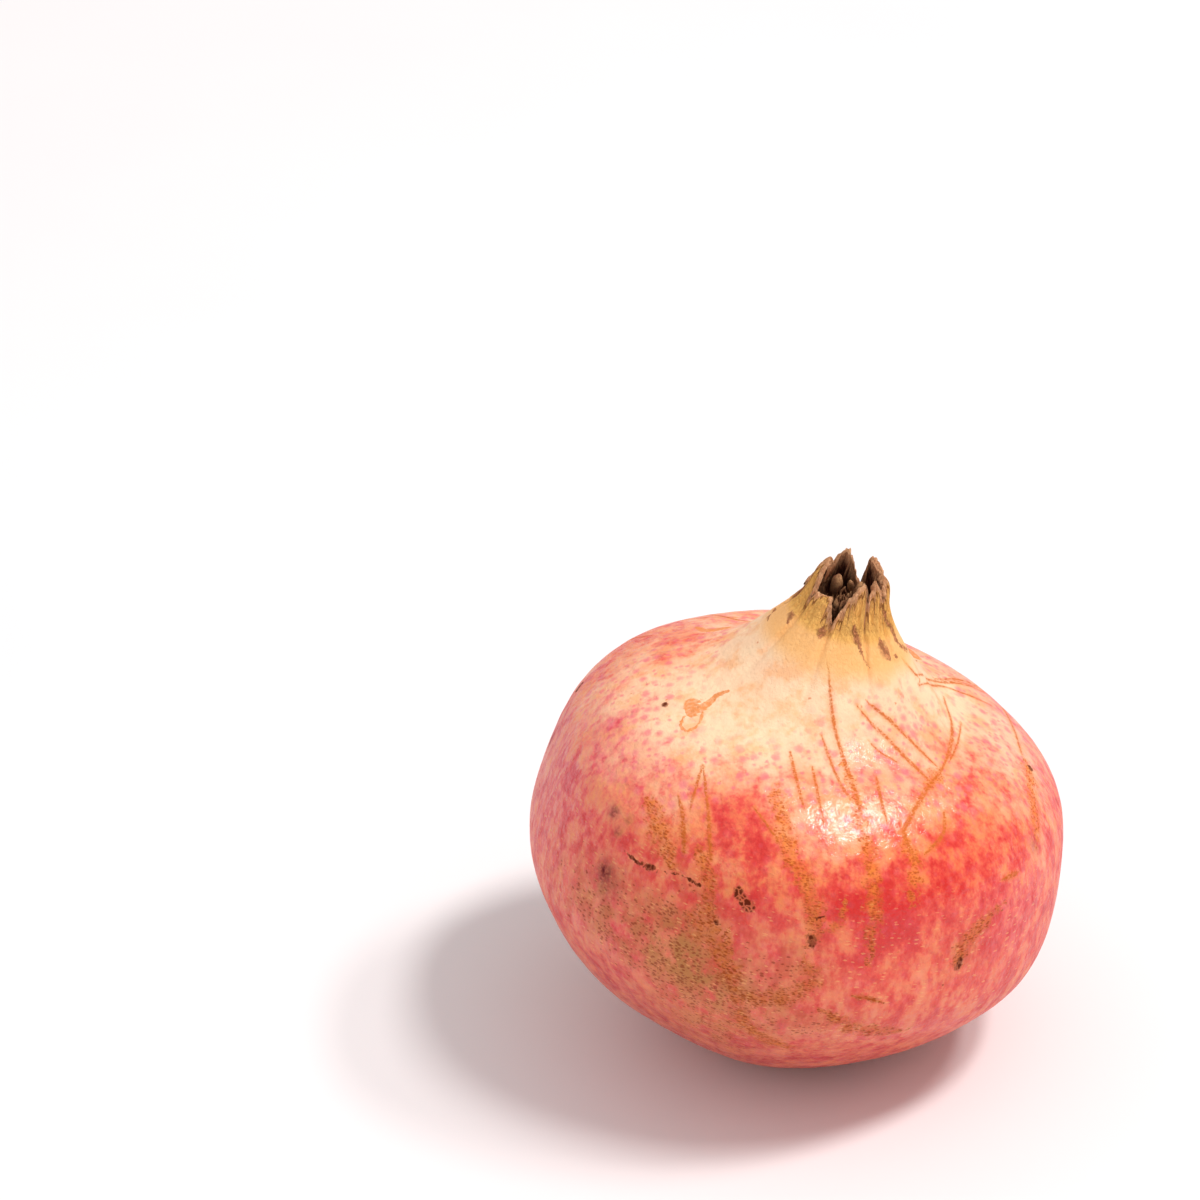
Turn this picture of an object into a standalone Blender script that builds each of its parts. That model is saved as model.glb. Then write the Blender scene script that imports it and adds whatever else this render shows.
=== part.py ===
"""A whole ripe pomegranate: rind, neck, crown of eight sepals and the dried stamens in its cup.

The fruit is one solid. Its rind, from the stalk stub in the base to the floor of the cup, is a sphere's
grid of rows and columns: each row is moved to its station along one profile, and each column to its turn
around the fruit's own axis. The stamens are rooted in the cup and joined to the rind.

The frame is in metres, +Z up, with its origin in the middle of the flat spot that the fruit rests on.
The fruit leans towards +X, and turns are measured around its axis from -Y, positive towards +X.
"""

import math
import random
from typing import NamedTuple

import bmesh
import bpy
import numpy as np
from mathutils import Matrix, Vector

MM = 0.001

# Body
EQUATOR_RADIUS = 47.1 * MM
BASE_DEPTH = 36.4 * MM
SHOULDER_RISE = 35.2 * MM
BASE_POWER = 1.7
SHOULDER_POWER = 2.7
EQUATOR_BLEND = 0.45
LEAN = math.radians(12.0)
REST_HEIGHT = 35.3 * MM
REST_OFFSET = (-2.2 * MM, -0.24 * MM)

# Swells of the body: turn and latitude in degrees, spread in degrees, height over the plain form
SWELLS = (
    (75, -38, 34, 0.8 * MM),
    (-60, -35, 30, 0.6 * MM),
    (98, 12, 30, 2.3 * MM),
    (100, 52, 16, -1.0 * MM),
    (-100, 35, 30, -0.3 * MM),
    (10, -60, 25, 1.0 * MM),
    (-165, -60, 25, 1.0 * MM),
    (-80, 5, 30, -0.5 * MM),
    (165, 20, 28, 1.2 * MM),
    (-150, -20, 30, -0.9 * MM),
    (130, -35, 26, -0.8 * MM),
    (20, 38, 24, 0.5 * MM),
)
FACET_COUNT = 6
FACET_HEIGHT = 0.35 * MM

# Stalk end: the stub's rows are shares of its radius and of its length
STUB_RADIUS = 2.3 * MM
STUB_ROOT_RADIUS = 2.9 * MM
STUB_LENGTH = 1.5 * MM
STUB_ROWS = ((0.0, 1.0), (0.6, 1.0), (1.0, 0.85))
DIMPLE_DEPTH = 2.8 * MM
DIMPLE_WIDTH = 5.6 * MM

# Neck
SHOULDER_RADIUS = 27.0 * MM
COLLAR_RADIUS = 10.0 * MM
COLLAR_HEIGHT = 47.6 * MM
NECK_SLOPE = math.radians(36.0)
SHOULDER_PULL = 0.36
COLLAR_PULL = 0.46
NECK_BEND = -1.5 * MM
FURROW_DEPTH = 0.7 * MM
FURROW_WIDTH = 0.16

# Heights over the body's middle where the columns start to gather, the neck to bend and to begin
GATHER_HEIGHT = 7.0 * MM
BEND_HEIGHT = 17.6 * MM
NECK_HEIGHT = 29.9 * MM

# Crown
SEPAL_THICKNESS = 1.35 * MM
SEPAL_STAND = math.radians(13.0)
STAND_LENGTH = 8.0 * MM
WALL_TAPER = 4.0 * MM
CURL_LENGTH = 3.6 * MM
MARGIN_POWER = 1.7
CUP_RADIUS = 4.6 * MM
CUP_DEPTH = 2.5 * MM
CUP_DISH = 0.75 * MM

# Stamens: their spread and lean are shares of the cup's radius
STAMEN_COUNT = 34
STAMEN_SIDES = 4
STAMEN_RADIUS = 0.42 * MM
STAMEN_TAPER = 0.8
STAMEN_LENGTH = (4.5 * MM, 8.0 * MM)
STAMEN_ROOT = 1.2 * MM
STAMEN_SPREAD = (0.3, 0.85)
STAMEN_LEAN = (0.35, 0.85)
STAMEN_BEND = 0.25
STYLE_RADIUS = 0.9 * MM
STYLE_LEAN = (0.4 * MM, -0.3 * MM)
STAMEN_SEED = 7

# Grid
COLUMNS_PER_SEPAL = 12
BODY_ROWS = 25
NECK_ROWS = 7
CROWN_ROWS = 6
RIM_ROWS = 2
INSIDE_ROWS = 6
CUP_ROWS = 3

SLOPE_STEP = 0.01
SHARP_ANGLE = math.radians(50.0)


class Sepal(NamedTuple):
    """One sepal: first notch and curl in degrees, length, where the tip stands in it, rib, notch length."""

    start: float
    length: float
    curl: float
    skew: float
    rib: float
    notch: float


SEPALS = (
    Sepal(-64, 8.8 * MM, 112, -0.2, 0.2 * MM, 5.5 * MM),
    Sepal(-20, 11.0 * MM, 26, 0.84, 0.2 * MM, 3.0 * MM),
    Sepal(24, 11.2 * MM, 24, 0.35, 0.9 * MM, 8.0 * MM),
    Sepal(56, 11.5 * MM, 38, 0.2, 1.0 * MM, 8.0 * MM),
    Sepal(102, 12.0 * MM, 16, 0.5, 0.6 * MM, 6.0 * MM),
    Sepal(158, 12.0 * MM, 14, 0.35, 0.4 * MM, 4.0 * MM),
    Sepal(214, 10.8 * MM, 30, 0.0, 0.3 * MM, 4.5 * MM),
    Sepal(252, 11.9 * MM, 24, 0.2, 0.3 * MM, 4.5 * MM),
)


def eased(value):
    """0 below 0, 1 above 1, and a smooth step between."""
    value = np.clip(value, 0.0, 1.0)
    return value * value * (3 - 2 * value)


def body_profile(angle):
    """Radius and height of the body's meridian: angle 0 is the base, pi/2 the equator."""
    lower = angle < math.pi / 2
    away = eased(np.abs(np.cos(angle)) / EQUATOR_BLEND)
    power = 2 + (np.where(lower, BASE_POWER, SHOULDER_POWER) - 2) * away
    depth = np.where(lower, BASE_DEPTH, SHOULDER_RISE)
    radius = EQUATOR_RADIUS * np.abs(np.sin(angle)) ** (2 / power)
    height = -depth * np.sign(np.cos(angle)) * np.abs(np.cos(angle)) ** (2 / power)
    dimple = DIMPLE_DEPTH * np.exp(-((radius / DIMPLE_WIDTH) ** 2))
    return radius, height + np.where(lower, dimple, 0.0)


def body_angle(radius, upper):
    """The meridian's angle where the body is this wide, below or above the equator."""
    power = SHOULDER_POWER if upper else BASE_POWER
    angle = math.asin((radius / EQUATOR_RADIUS) ** (power / 2))
    return math.pi - angle if upper else angle


def neck_profile(share):
    """Radius and height along the neck's curve: share 0 is the shoulder, 1 the collar."""
    angle = body_angle(SHOULDER_RADIUS, True)
    ends = np.array(body_profile(np.array([angle, angle + SLOPE_STEP])))
    start = ends[:, 0]
    off = (ends[:, 1] - start) / np.linalg.norm(ends[:, 1] - start)
    collar = np.array([COLLAR_RADIUS, COLLAR_HEIGHT])
    reach = np.linalg.norm(collar - start)
    first = start + off * reach * SHOULDER_PULL
    slope = np.array([-math.sin(NECK_SLOPE), math.cos(NECK_SLOPE)])
    last = collar - slope * reach * COLLAR_PULL
    share = np.asarray(share)[:, None]
    rest = 1 - share
    curve = rest**3 * start + 3 * share * rest**2 * first + 3 * share**2 * rest * last + share**3 * collar
    return curve[:, 0], curve[:, 1]


def sepal_columns(columns):
    """For each column its turn on the body, its turn in the crown, its sepal, and its place across it."""
    share = np.arange(columns) / columns * len(SEPALS)
    notches = [sepal.start for sepal in SEPALS] + [SEPALS[0].start + 360]
    crown_turn = np.radians(np.interp(share, np.arange(len(SEPALS) + 1), notches))
    even_turn = np.arange(columns) / columns * 2 * math.pi
    even_turn += np.mean(crown_turn - even_turn)
    number = np.floor(share).astype(int)
    return even_turn, crown_turn, number, 2 * (share - number) - 1


def across_sepal(place, skew):
    """Place across the sepal, -1 to 1, with 0 moved to where the tip stands."""
    return np.where(place > skew, (place - skew) / (1 - skew), (place - skew) / (1 + skew))


def sepal_values(field, number):
    """One field of every column's sepal."""
    return np.array([getattr(sepal, field) for sepal in SEPALS])[number]


def column_lengths(number, place):
    """How far each column runs above the collar: to a notch, a margin or a tip."""
    length = sepal_values("length", number)
    notch = sepal_values("notch", number)
    next_notch = sepal_values("notch", (number + 1) % len(SEPALS))
    low = notch + (next_notch - notch) * (place + 1) / 2
    lobe = 1 - np.abs(across_sepal(place, sepal_values("skew", number))) ** MARGIN_POWER
    return low + (length - low) * lobe


def crown_paths(columns, steps):
    """The outer path of each column above the collar: radius, height and inclination by step and column."""
    _, _, number, place = sepal_columns(columns)
    length = sepal_values("length", number)
    curl = np.radians(sepal_values("curl", number))
    share = np.linspace(0, 1, steps)[:, None]
    run = share * column_lengths(number, place)
    stand = eased(run / STAND_LENGTH)
    curled = eased((run - (length - CURL_LENGTH)) / CURL_LENGTH)
    incline = NECK_SLOPE + (SEPAL_STAND - NECK_SLOPE) * stand + curl * curled
    middle = (incline[1:] + incline[:-1]) / 2
    step = np.diff(run, axis=0)
    none = np.zeros((1, columns))
    radius = COLLAR_RADIUS + np.cumsum(np.concatenate([none, -np.sin(middle) * step]), axis=0)
    height = COLLAR_HEIGHT + np.cumsum(np.concatenate([none, np.cos(middle) * step]), axis=0)
    return radius, height, incline, run


def wall_thickness(run):
    """Thickness of the crown's wall at a length above the collar: thick neck, thin sepal."""
    wall = COLLAR_RADIUS - CUP_RADIUS
    return SEPAL_THICKNESS + (wall - SEPAL_THICKNESS) * (1 - eased(run / WALL_TAPER))


def stations(columns):
    """Radius and height of every row and column, from the middle of the stub to the middle of the cup."""
    root = body_angle(STUB_ROOT_RADIUS, False)
    shoulder = body_angle(SHOULDER_RADIUS, True)
    body_radius, body_height = body_profile(np.linspace(root, shoulder, BODY_ROWS))
    neck_radius, neck_height = neck_profile(np.linspace(0, 1, NECK_ROWS + 1)[1:])
    stub_radius = np.array([out for out, _ in STUB_ROWS]) * STUB_RADIUS
    stub_height = body_height[0] - np.array([down for _, down in STUB_ROWS]) * STUB_LENGTH
    low_radius = np.concatenate([stub_radius, body_radius, neck_radius])
    low_height = np.concatenate([stub_height, body_height, neck_height])
    rows = [np.repeat(low_radius[:, None], columns, axis=1)]
    heights = [np.repeat(low_height[:, None], columns, axis=1)]

    outer_radius, outer_height, incline, run = crown_paths(columns, CROWN_ROWS + 1)
    rows.append(outer_radius[1:])
    heights.append(outer_height[1:])

    thick = wall_thickness(run)
    top = thick[-1] / 2
    for turn in np.linspace(0, math.pi, RIM_ROWS + 2)[1:-1]:
        inward = top * (1 - math.cos(turn))
        beyond = 0.5 * SEPAL_THICKNESS * math.sin(turn)
        rows.append((outer_radius[-1] - np.cos(incline[-1]) * inward - np.sin(incline[-1]) * beyond)[None])
        heights.append((outer_height[-1] - np.sin(incline[-1]) * inward + np.cos(incline[-1]) * beyond)[None])

    inner_radius = outer_radius - np.cos(incline) * thick
    inner_height = outer_height - np.sin(incline) * thick
    rows.append(inner_radius[::-1][:INSIDE_ROWS])
    heights.append(inner_height[::-1][:INSIDE_ROWS])

    floor = COLLAR_HEIGHT - CUP_DEPTH
    for share in np.linspace(1, 0, CUP_ROWS + 1):
        rows.append(np.full((1, columns), CUP_RADIUS * share))
        heights.append(np.full((1, columns), floor - CUP_DISH * math.cos(share * math.pi / 2)))
    return np.concatenate(rows), np.concatenate(heights)


def climbed(height, start):
    """0 up to a height over the body's middle, 1 from the collar up, and a smooth step between."""
    return eased((height - start) / (COLLAR_HEIGHT - start))


def fruit_grid():
    """Every point of the rind in the fruit's own axes, by row and column."""
    columns = COLUMNS_PER_SEPAL * len(SEPALS)
    radius, height = stations(columns)
    even_turn, crown_turn, number, place = sepal_columns(columns)
    turn = even_turn + (crown_turn - even_turn) * climbed(height, GATHER_HEIGHT)
    on_neck = climbed(height, NECK_HEIGHT)
    outside = np.arange(len(radius))[:, None] < len(STUB_ROWS) + BODY_ROWS + NECK_ROWS + CROWN_ROWS
    near_notch = np.exp(-(((np.abs(place) - 1) / FURROW_WIDTH) ** 2))
    furrow = FURROW_DEPTH * on_neck * outside * near_notch
    swell = 4 * on_neck * (1 - on_neck) * np.cos(place * math.pi / 2) ** 2
    rib = sepal_values("rib", number) * outside * swell
    radius = radius - furrow + rib
    bend = NECK_BEND * climbed(height, BEND_HEIGHT)
    points = np.stack([radius * np.sin(turn) + bend, -radius * np.cos(turn), height], axis=-1)
    return points + body_relief(points, turn) * (1 - on_neck)[..., None]


def body_relief(points, turn):
    """The offset that makes the plain turned body swell and flatten as a grown one does."""
    out = points / np.maximum(np.linalg.norm(points, axis=-1, keepdims=True), MM)
    level_share = np.clip(np.hypot(out[..., 0], out[..., 1]), 0, 1) ** 2
    rise = FACET_HEIGHT * np.cos(FACET_COUNT * turn) * level_share
    for swell_turn, latitude, spread, height in SWELLS:
        swell_turn, latitude, spread = (math.radians(v) for v in (swell_turn, latitude, spread))
        level = math.cos(latitude)
        middle = (level * math.sin(swell_turn), -level * math.cos(swell_turn), math.sin(latitude))
        apart = np.arccos(np.clip(out @ np.array(middle), -1, 1))
        rise = rise + height * np.exp(-((apart / spread) ** 2))
    return out * rise[..., None]


def leaning():
    """The matrix from the fruit's own axes to the frame."""
    return Matrix.Translation((*REST_OFFSET, REST_HEIGHT)) @ Matrix.Rotation(LEAN, 4, "Y")


def make_rind(collection, material):
    """The rind with its neck, sepals, cup and stub: a sphere's grid moved onto the profile."""
    grid = fruit_grid()
    rings = len(grid) - 1
    columns = grid.shape[1]
    mesh = bpy.data.meshes.new("pomegranate")
    bm = bmesh.new()
    bmesh.ops.create_uvsphere(bm, u_segments=columns, v_segments=rings, radius=1)
    place = leaning()
    for vert in bm.verts:
        x, y, z = vert.co
        row = round((1 - math.acos(max(-1, min(1, z))) / math.pi) * rings)
        column = round(math.atan2(y, x) / (2 * math.pi) * columns) % columns
        if row in (0, rings):
            vert.co = place @ Vector(grid[row].mean(axis=0))
        else:
            vert.co = place @ Vector(grid[row, column])
        vert.co.z = max(vert.co.z, 0)
    bmesh.ops.recalc_face_normals(bm, faces=bm.faces)
    bm.to_mesh(mesh)
    bm.free()
    rind = bpy.data.objects.new("pomegranate", mesh)
    rind.data.materials.append(material)
    collection.objects.link(rind)
    return rind


def add_stamen(bm, root, tip, radius):
    """One tapered, few-sided stamen from its root to its tip."""
    along = tip - root
    facing = along.to_track_quat("Z", "Y").to_matrix().to_4x4()
    middle = Matrix.Translation((root + tip) / 2) @ facing
    bmesh.ops.create_cone(
        bm,
        cap_ends=True,
        segments=STAMEN_SIDES,
        radius1=radius,
        radius2=STAMEN_TAPER * radius,
        depth=along.length,
        matrix=middle,
    )


def make_stamens(collection):
    """Each stamen and the style between them as its own closed body, rooted under the cup's floor."""
    draw = random.Random(STAMEN_SEED)
    place = leaning()
    floor = COLLAR_HEIGHT - CUP_DEPTH - STAMEN_ROOT
    inner, outer = STAMEN_SPREAD
    stamens = []
    for number in range(STAMEN_COUNT + 1):
        bm = bmesh.new()
        if number == STAMEN_COUNT:
            root = Vector((0, 0, floor))
            tip = Vector((*STYLE_LEAN, floor + STAMEN_ROOT + STAMEN_LENGTH[1]))
            add_stamen(bm, place @ root, place @ tip, STYLE_RADIUS)
        else:
            turn = number * math.pi * (3 - math.sqrt(5))
            out = CUP_RADIUS * (inner + (outer - inner) * math.sqrt(number / STAMEN_COUNT))
            bend = draw.uniform(-STAMEN_BEND, STAMEN_BEND)
            length = STAMEN_ROOT + draw.uniform(*STAMEN_LENGTH)
            root = Vector((out * math.sin(turn), -out * math.cos(turn), floor))
            tip_out = out * draw.uniform(*STAMEN_LEAN)
            tip = Vector((tip_out * math.sin(turn + bend), -tip_out * math.cos(turn + bend), floor + length))
            add_stamen(bm, place @ root, place @ tip, STAMEN_RADIUS)
        mesh = bpy.data.meshes.new("stamen")
        bm.to_mesh(mesh)
        bm.free()
        stamen = bpy.data.objects.new("stamen", mesh)
        collection.objects.link(stamen)
        stamens.append(stamen)
    return stamens


def join_stamens(rind, collection, stamens):
    """Grows the stamens into the rind, so that the fruit is one solid, and removes the loose ones."""
    union = rind.modifiers.new("stamens", "BOOLEAN")
    union.operation = "UNION"
    union.operand_type = "COLLECTION"
    union.collection = collection
    union.solver = "EXACT"
    graph = bpy.context.evaluated_depsgraph_get()
    joined = bpy.data.meshes.new_from_object(rind.evaluated_get(graph))
    rind.modifiers.remove(union)
    rind.data = joined
    for stamen in stamens:
        bpy.data.objects.remove(stamen)


def rind_material():
    """Smooth leathery rind, red over a pale yellow ground."""
    material = bpy.data.materials.new("rind")
    material.use_nodes = True
    shader = material.node_tree.nodes["Principled BSDF"]
    shader.inputs["Base Color"].default_value = (0.72, 0.16, 0.11, 1)
    shader.inputs["Roughness"].default_value = 0.38
    shader.inputs["Metallic"].default_value = 0.0
    return material


def main():
    for old in list(bpy.data.objects):
        bpy.data.objects.remove(old)
    fruit = bpy.data.collections.new("pomegranate")
    joined = bpy.data.collections.new("stamens")
    bpy.context.scene.collection.children.link(fruit)
    bpy.context.scene.collection.children.link(joined)
    joined.hide_render = True
    rind = make_rind(fruit, rind_material())
    stamens = make_stamens(joined)
    join_stamens(rind, joined, stamens)
    rind.data.shade_smooth()
    rind.data.set_sharp_from_angle(angle=SHARP_ANGLE)


main()
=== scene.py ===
"""Looks of a whole ripe pomegranate: its fine rind and crown, the dried stamens, and the studio around it.

The rind repeats the solid's own formulas on a finer grid and adds wrinkles, dents and torn sepal margins.
Its markings are lines and spots at named places: pixels of the photograph's 1200 by 1200 frame, which are
followed through the camera onto the fruit, or a turn and latitude on the sides that the camera doesn't see.
Turns are measured around the fruit's own axis from -Y, positive towards +X.
"""

import math
import random
from typing import NamedTuple

import bmesh
import bpy
import numpy as np
from mathutils import Matrix, Vector, noise
from mathutils.bvhtree import BVHTree
from mathutils.kdtree import KDTree


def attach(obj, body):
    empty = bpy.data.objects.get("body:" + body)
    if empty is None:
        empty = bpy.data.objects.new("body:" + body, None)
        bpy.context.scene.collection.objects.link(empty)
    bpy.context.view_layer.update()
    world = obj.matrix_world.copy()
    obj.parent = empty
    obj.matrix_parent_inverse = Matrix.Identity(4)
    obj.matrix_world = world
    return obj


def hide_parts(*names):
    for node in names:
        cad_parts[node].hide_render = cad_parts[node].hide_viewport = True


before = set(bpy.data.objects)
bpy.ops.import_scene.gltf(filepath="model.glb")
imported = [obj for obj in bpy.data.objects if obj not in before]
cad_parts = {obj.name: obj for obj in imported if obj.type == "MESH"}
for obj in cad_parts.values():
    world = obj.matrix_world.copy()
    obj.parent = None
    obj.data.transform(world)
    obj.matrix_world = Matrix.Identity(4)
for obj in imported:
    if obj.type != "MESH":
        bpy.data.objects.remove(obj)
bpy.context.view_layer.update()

MM = 0.001

# Body
EQUATOR_RADIUS = 47.1 * MM
BASE_DEPTH = 36.4 * MM
SHOULDER_RISE = 35.2 * MM
BASE_POWER = 1.7
SHOULDER_POWER = 2.7
EQUATOR_BLEND = 0.45
LEAN = math.radians(12.0)
REST_HEIGHT = 35.3 * MM
REST_OFFSET = (-2.2 * MM, -0.24 * MM)

# Swells of the body: turn and latitude in degrees, spread in degrees, height over the plain form
SWELLS = (
    (75, -38, 34, 0.8 * MM),
    (-60, -35, 30, 0.6 * MM),
    (98, 12, 30, 2.3 * MM),
    (100, 52, 16, -1.0 * MM),
    (-100, 35, 30, -0.3 * MM),
    (10, -60, 25, 1.0 * MM),
    (-165, -60, 25, 1.0 * MM),
    (-80, 5, 30, -0.5 * MM),
    (165, 20, 28, 1.2 * MM),
    (-150, -20, 30, -0.9 * MM),
    (130, -35, 26, -0.8 * MM),
    (20, 38, 24, 0.5 * MM),
)
FACET_COUNT = 6
FACET_HEIGHT = 0.35 * MM

# Stalk end
STUB_RADIUS = 2.3 * MM
STUB_ROOT_RADIUS = 2.9 * MM
STUB_LENGTH = 1.5 * MM
DIMPLE_DEPTH = 2.8 * MM
DIMPLE_WIDTH = 5.6 * MM
SCAR_RADIUS = 3.6 * MM

# Neck
SHOULDER_RADIUS = 27.0 * MM
COLLAR_RADIUS = 10.0 * MM
COLLAR_HEIGHT = 47.6 * MM
NECK_SLOPE = math.radians(36.0)
SHOULDER_PULL = 0.36
COLLAR_PULL = 0.46
NECK_BEND = -1.5 * MM
FURROW_DEPTH = 0.7 * MM
FURROW_WIDTH = 0.16

# Heights over the body's middle where the columns start to gather, the neck to bend and to begin
GATHER_HEIGHT = 7.0 * MM
BEND_HEIGHT = 17.6 * MM
NECK_HEIGHT = 29.9 * MM

# Crown
SEPAL_THICKNESS = 1.35 * MM
MARGIN_THINNING = 0.5
MARGIN_THIN_WIDTH = 2.6 * MM
SEPAL_STAND = math.radians(13.0)
STAND_LENGTH = 8.0 * MM
WALL_TAPER = 4.0 * MM
CURL_LENGTH = 3.6 * MM
MARGIN_POWER = 1.7
CUP_RADIUS = 4.6 * MM
CUP_DEPTH = 2.5 * MM
CUP_DISH = 0.75 * MM
SLOPE_STEP = 0.01

# Fine form that the solid leaves out: torn margins, folds and wrinkles of the dried crown, dents of the rind
TEAR_DEPTH = 0.55 * MM
FOLD_HEIGHT = 0.22 * MM
WRINKLE_HEIGHTS = (0.36 * MM, 0.2 * MM)
MARGIN_ROLL = 0.16 * MM
DENT_HEIGHTS = (0.16 * MM, 0.05 * MM)

# Grid of the fine rind
COLUMNS_PER_SEPAL = 52
STUB_ROWS = 8
BODY_ROWS = 104
NECK_ROWS = 34
CROWN_ROWS = 34
RIM_ROWS = 7
INSIDE_ROWS = 28
CUP_ROWS = 8

# Camera
PHOTO_SIZE = 1200
FOCAL_PIXELS = 4500.0
SENSOR_WIDTH = 36.0
BODY_PIXEL = (786.9, 848.9)
CAMERA_ELEVATION = math.radians(29.0)
CAMERA_DEPTH = 0.802


class Sepal(NamedTuple):
    """One sepal: first notch and curl in degrees, length, where the tip stands in it, rib, notch length."""

    start: float
    length: float
    curl: float
    skew: float
    rib: float
    notch: float


SEPALS = (
    Sepal(-64, 8.8 * MM, 112, -0.2, 0.2 * MM, 5.5 * MM),
    Sepal(-20, 11.0 * MM, 26, 0.84, 0.2 * MM, 3.0 * MM),
    Sepal(24, 11.2 * MM, 24, 0.35, 0.9 * MM, 8.0 * MM),
    Sepal(56, 11.5 * MM, 38, 0.2, 1.0 * MM, 8.0 * MM),
    Sepal(102, 12.0 * MM, 16, 0.5, 0.6 * MM, 6.0 * MM),
    Sepal(158, 12.0 * MM, 14, 0.35, 0.4 * MM, 4.0 * MM),
    Sepal(214, 10.8 * MM, 30, 0.0, 0.3 * MM, 4.5 * MM),
    Sepal(252, 11.9 * MM, 24, 0.2, 0.3 * MM, 4.5 * MM),
)


class Line(NamedTuple):
    """A marking along a row of places, with its width in millimetres at its first and its last place."""

    places: tuple
    first: float
    last: float


class Spot(NamedTuple):
    """A soft patch of colour: its middle, how far it reaches in millimetres, and how strong it is."""

    place: tuple
    reach: float
    amount: float


SCRATCHES = (
    Line(((828, 663), (831, 700), (835, 729), (843, 757), (853, 784), (860, 811)), 0.3, 0.7),
    Line(((790, 752), (796, 777), (804, 810)), 0.5, 0.3),
    Line(((876, 776), (881, 800), (887, 824)), 0.5, 0.35),
    Line(((866, 700), (880, 712), (895, 725), (918, 748), (938, 767)), 0.4, 0.5),
    Line(((944, 697), (947, 708), (952, 726), (950, 748), (942, 770)), 0.5, 0.6),
    Line(((942, 770), (925, 792), (908, 822), (904, 834), (912, 852), (922, 868)), 0.7, 0.5),
    Line(((703, 765), (706, 790), (709, 822), (711, 861)), 0.3, 0.55),
    Line(((678, 794), (683, 818), (684, 852)), 0.4, 0.6),
    Line(((753, 806), (768, 826), (781, 846)), 0.25, 0.3),
    Line(((915, 675), (930, 680), (955, 683), (985, 693)), 0.4, 0.35),
    Line(((1000, 705), (1012, 725), (1022, 755)), 0.35, 0.5),
    Line(((1002, 880), (1010, 876), (1019, 872)), 0.5, 0.3),
    Line(((852, 996), (866, 998), (884, 1003)), 0.3, 0.3),
)
BRANCHES = (
    Line(((821, 734), (829, 757), (840, 783), (851, 800)), 0.3, 0.4),
    Line(((812, 766), (818, 795), (824, 824)), 0.4, 0.25),
    Line(((857, 706), (872, 724), (887, 738), (909, 761), (931, 782)), 0.3, 0.7),
    Line(((961, 722), (957, 745), (948, 764)), 0.3, 0.3),
    Line(((944, 811), (943, 834), (924, 855)), 0.5, 0.45),
    Line(((703, 765), (696, 787), (690, 811)), 0.4, 0.35),
    Line(((919, 685), (940, 686), (965, 694), (992, 706)), 0.45, 0.35),
    Line(((902, 658), (910, 668), (919, 678)), 0.35, 0.4),
    Line(((868, 740), (880, 752), (897, 762)), 0.25, 0.35),
)
BANDS = (
    Line(((843, 764), (855, 795), (863, 826), (871, 868), (874, 910), (872, 962)), 1.0, 1.5),
    Line(((776, 785), (781, 815), (788, 845), (800, 880)), 1.3, 1.8),
    Line(((790, 850), (812, 900), (813, 940)), 1.2, 2.2),
    Line(((649, 799), (659, 830), (672, 862)), 1.5, 2.7),
    Line(((802, 960), (812, 976), (800, 992), (764, 1000), (742, 994)), 1.7, 2.0),
    Line(((728, 930), (731, 958), (742, 994)), 0.9, 1.6),
    Line(((1004, 905), (984, 922), (968, 942), (957, 962)), 0.7, 2.6),
    Line(((940, 772), (926, 786)), 1.8, 1.2),
    Line(((1026, 762), (1033, 800), (1036, 847)), 2.0, 1.0),
    Line(((700, 845), (708, 880), (712, 930)), 0.9, 1.6),
    Line(((690, 915), (722, 958), (735, 990)), 1.8, 2.4),
    Line(((735, 1000), (752, 1030), (790, 1048)), 1.8, 2.0),
    Line(((845, 905), (832, 928), (818, 930)), 0.7, 1.1),
    Line(((905, 840), (915, 870), (912, 905)), 1.6, 1.0),
    Line(((820, 1010), (860, 1030), (905, 1030)), 1.2, 1.6),
)
PATCHES = (
    Line(((691, 703), (692, 713)), 2.5, 2.6),
    Line(((697, 709), (708, 704), (717, 695), (728, 691)), 1.9, 0.6),
    Line(((684, 716), (681, 726), (688, 731), (698, 725), (703, 712)), 0.5, 0.4),
)
SCABS = (
    Line(((625, 851), (631, 857)), 0.4, 0.7),
    Line(((633, 859), (641, 864)), 0.55, 0.7),
    Line(((645, 865), (653, 868)), 1.1, 0.9),
    Line(((666, 872), (684, 877), (700, 886)), 0.35, 0.5),
    Line(((665, 704), (665, 705)), 0.9, 0.9),
    Line(((738, 891), (741, 898), (749, 907)), 1.4, 1.9),
    Line(((811, 937), (813, 945)), 1.2, 0.9),
    Line(((958, 967), (961, 958)), 1.3, 0.9),
    Line(((1030, 767), (1031, 769)), 1.0, 1.0),
    Line(((716, 922), (718, 924)), 0.6, 0.6),
    Line(((818, 918), (824, 916)), 0.45, 0.3),
)
BARK = (
    Line(((792, 611), (788, 622)), 1.3, 0.8),
    Line(((823, 628), (821, 638)), 1.2, 0.9),
    Line(((854, 626), (856, 636), (859, 646)), 1.2, 0.9),
    Line(((880, 640), (884, 648), (889, 657)), 1.2, 2.0),
    Line(((884, 612), (892, 630), (905, 648), (918, 660)), 1.2, 0.4),
    Line(((774, 610), (768, 620)), 0.9, 0.5),
    Line(((861, 652), (866, 664), (870, 668)), 0.5, 0.25),
    Line(((894, 655), (897, 658)), 0.6, 0.6),
)
BRUISES = (
    Spot((614, 812), 1.1, 1.0),
    Spot((629, 820), 0.7, 0.6),
    Spot((618, 832), 0.9, 0.8),
    Spot((605, 870), 1.5, 0.9),
    Spot((606, 885), 3.2, 0.4),
    Spot((1034, 845), 1.6, 0.4),
    Spot((884, 650), 2.0, 0.5),
)

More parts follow.
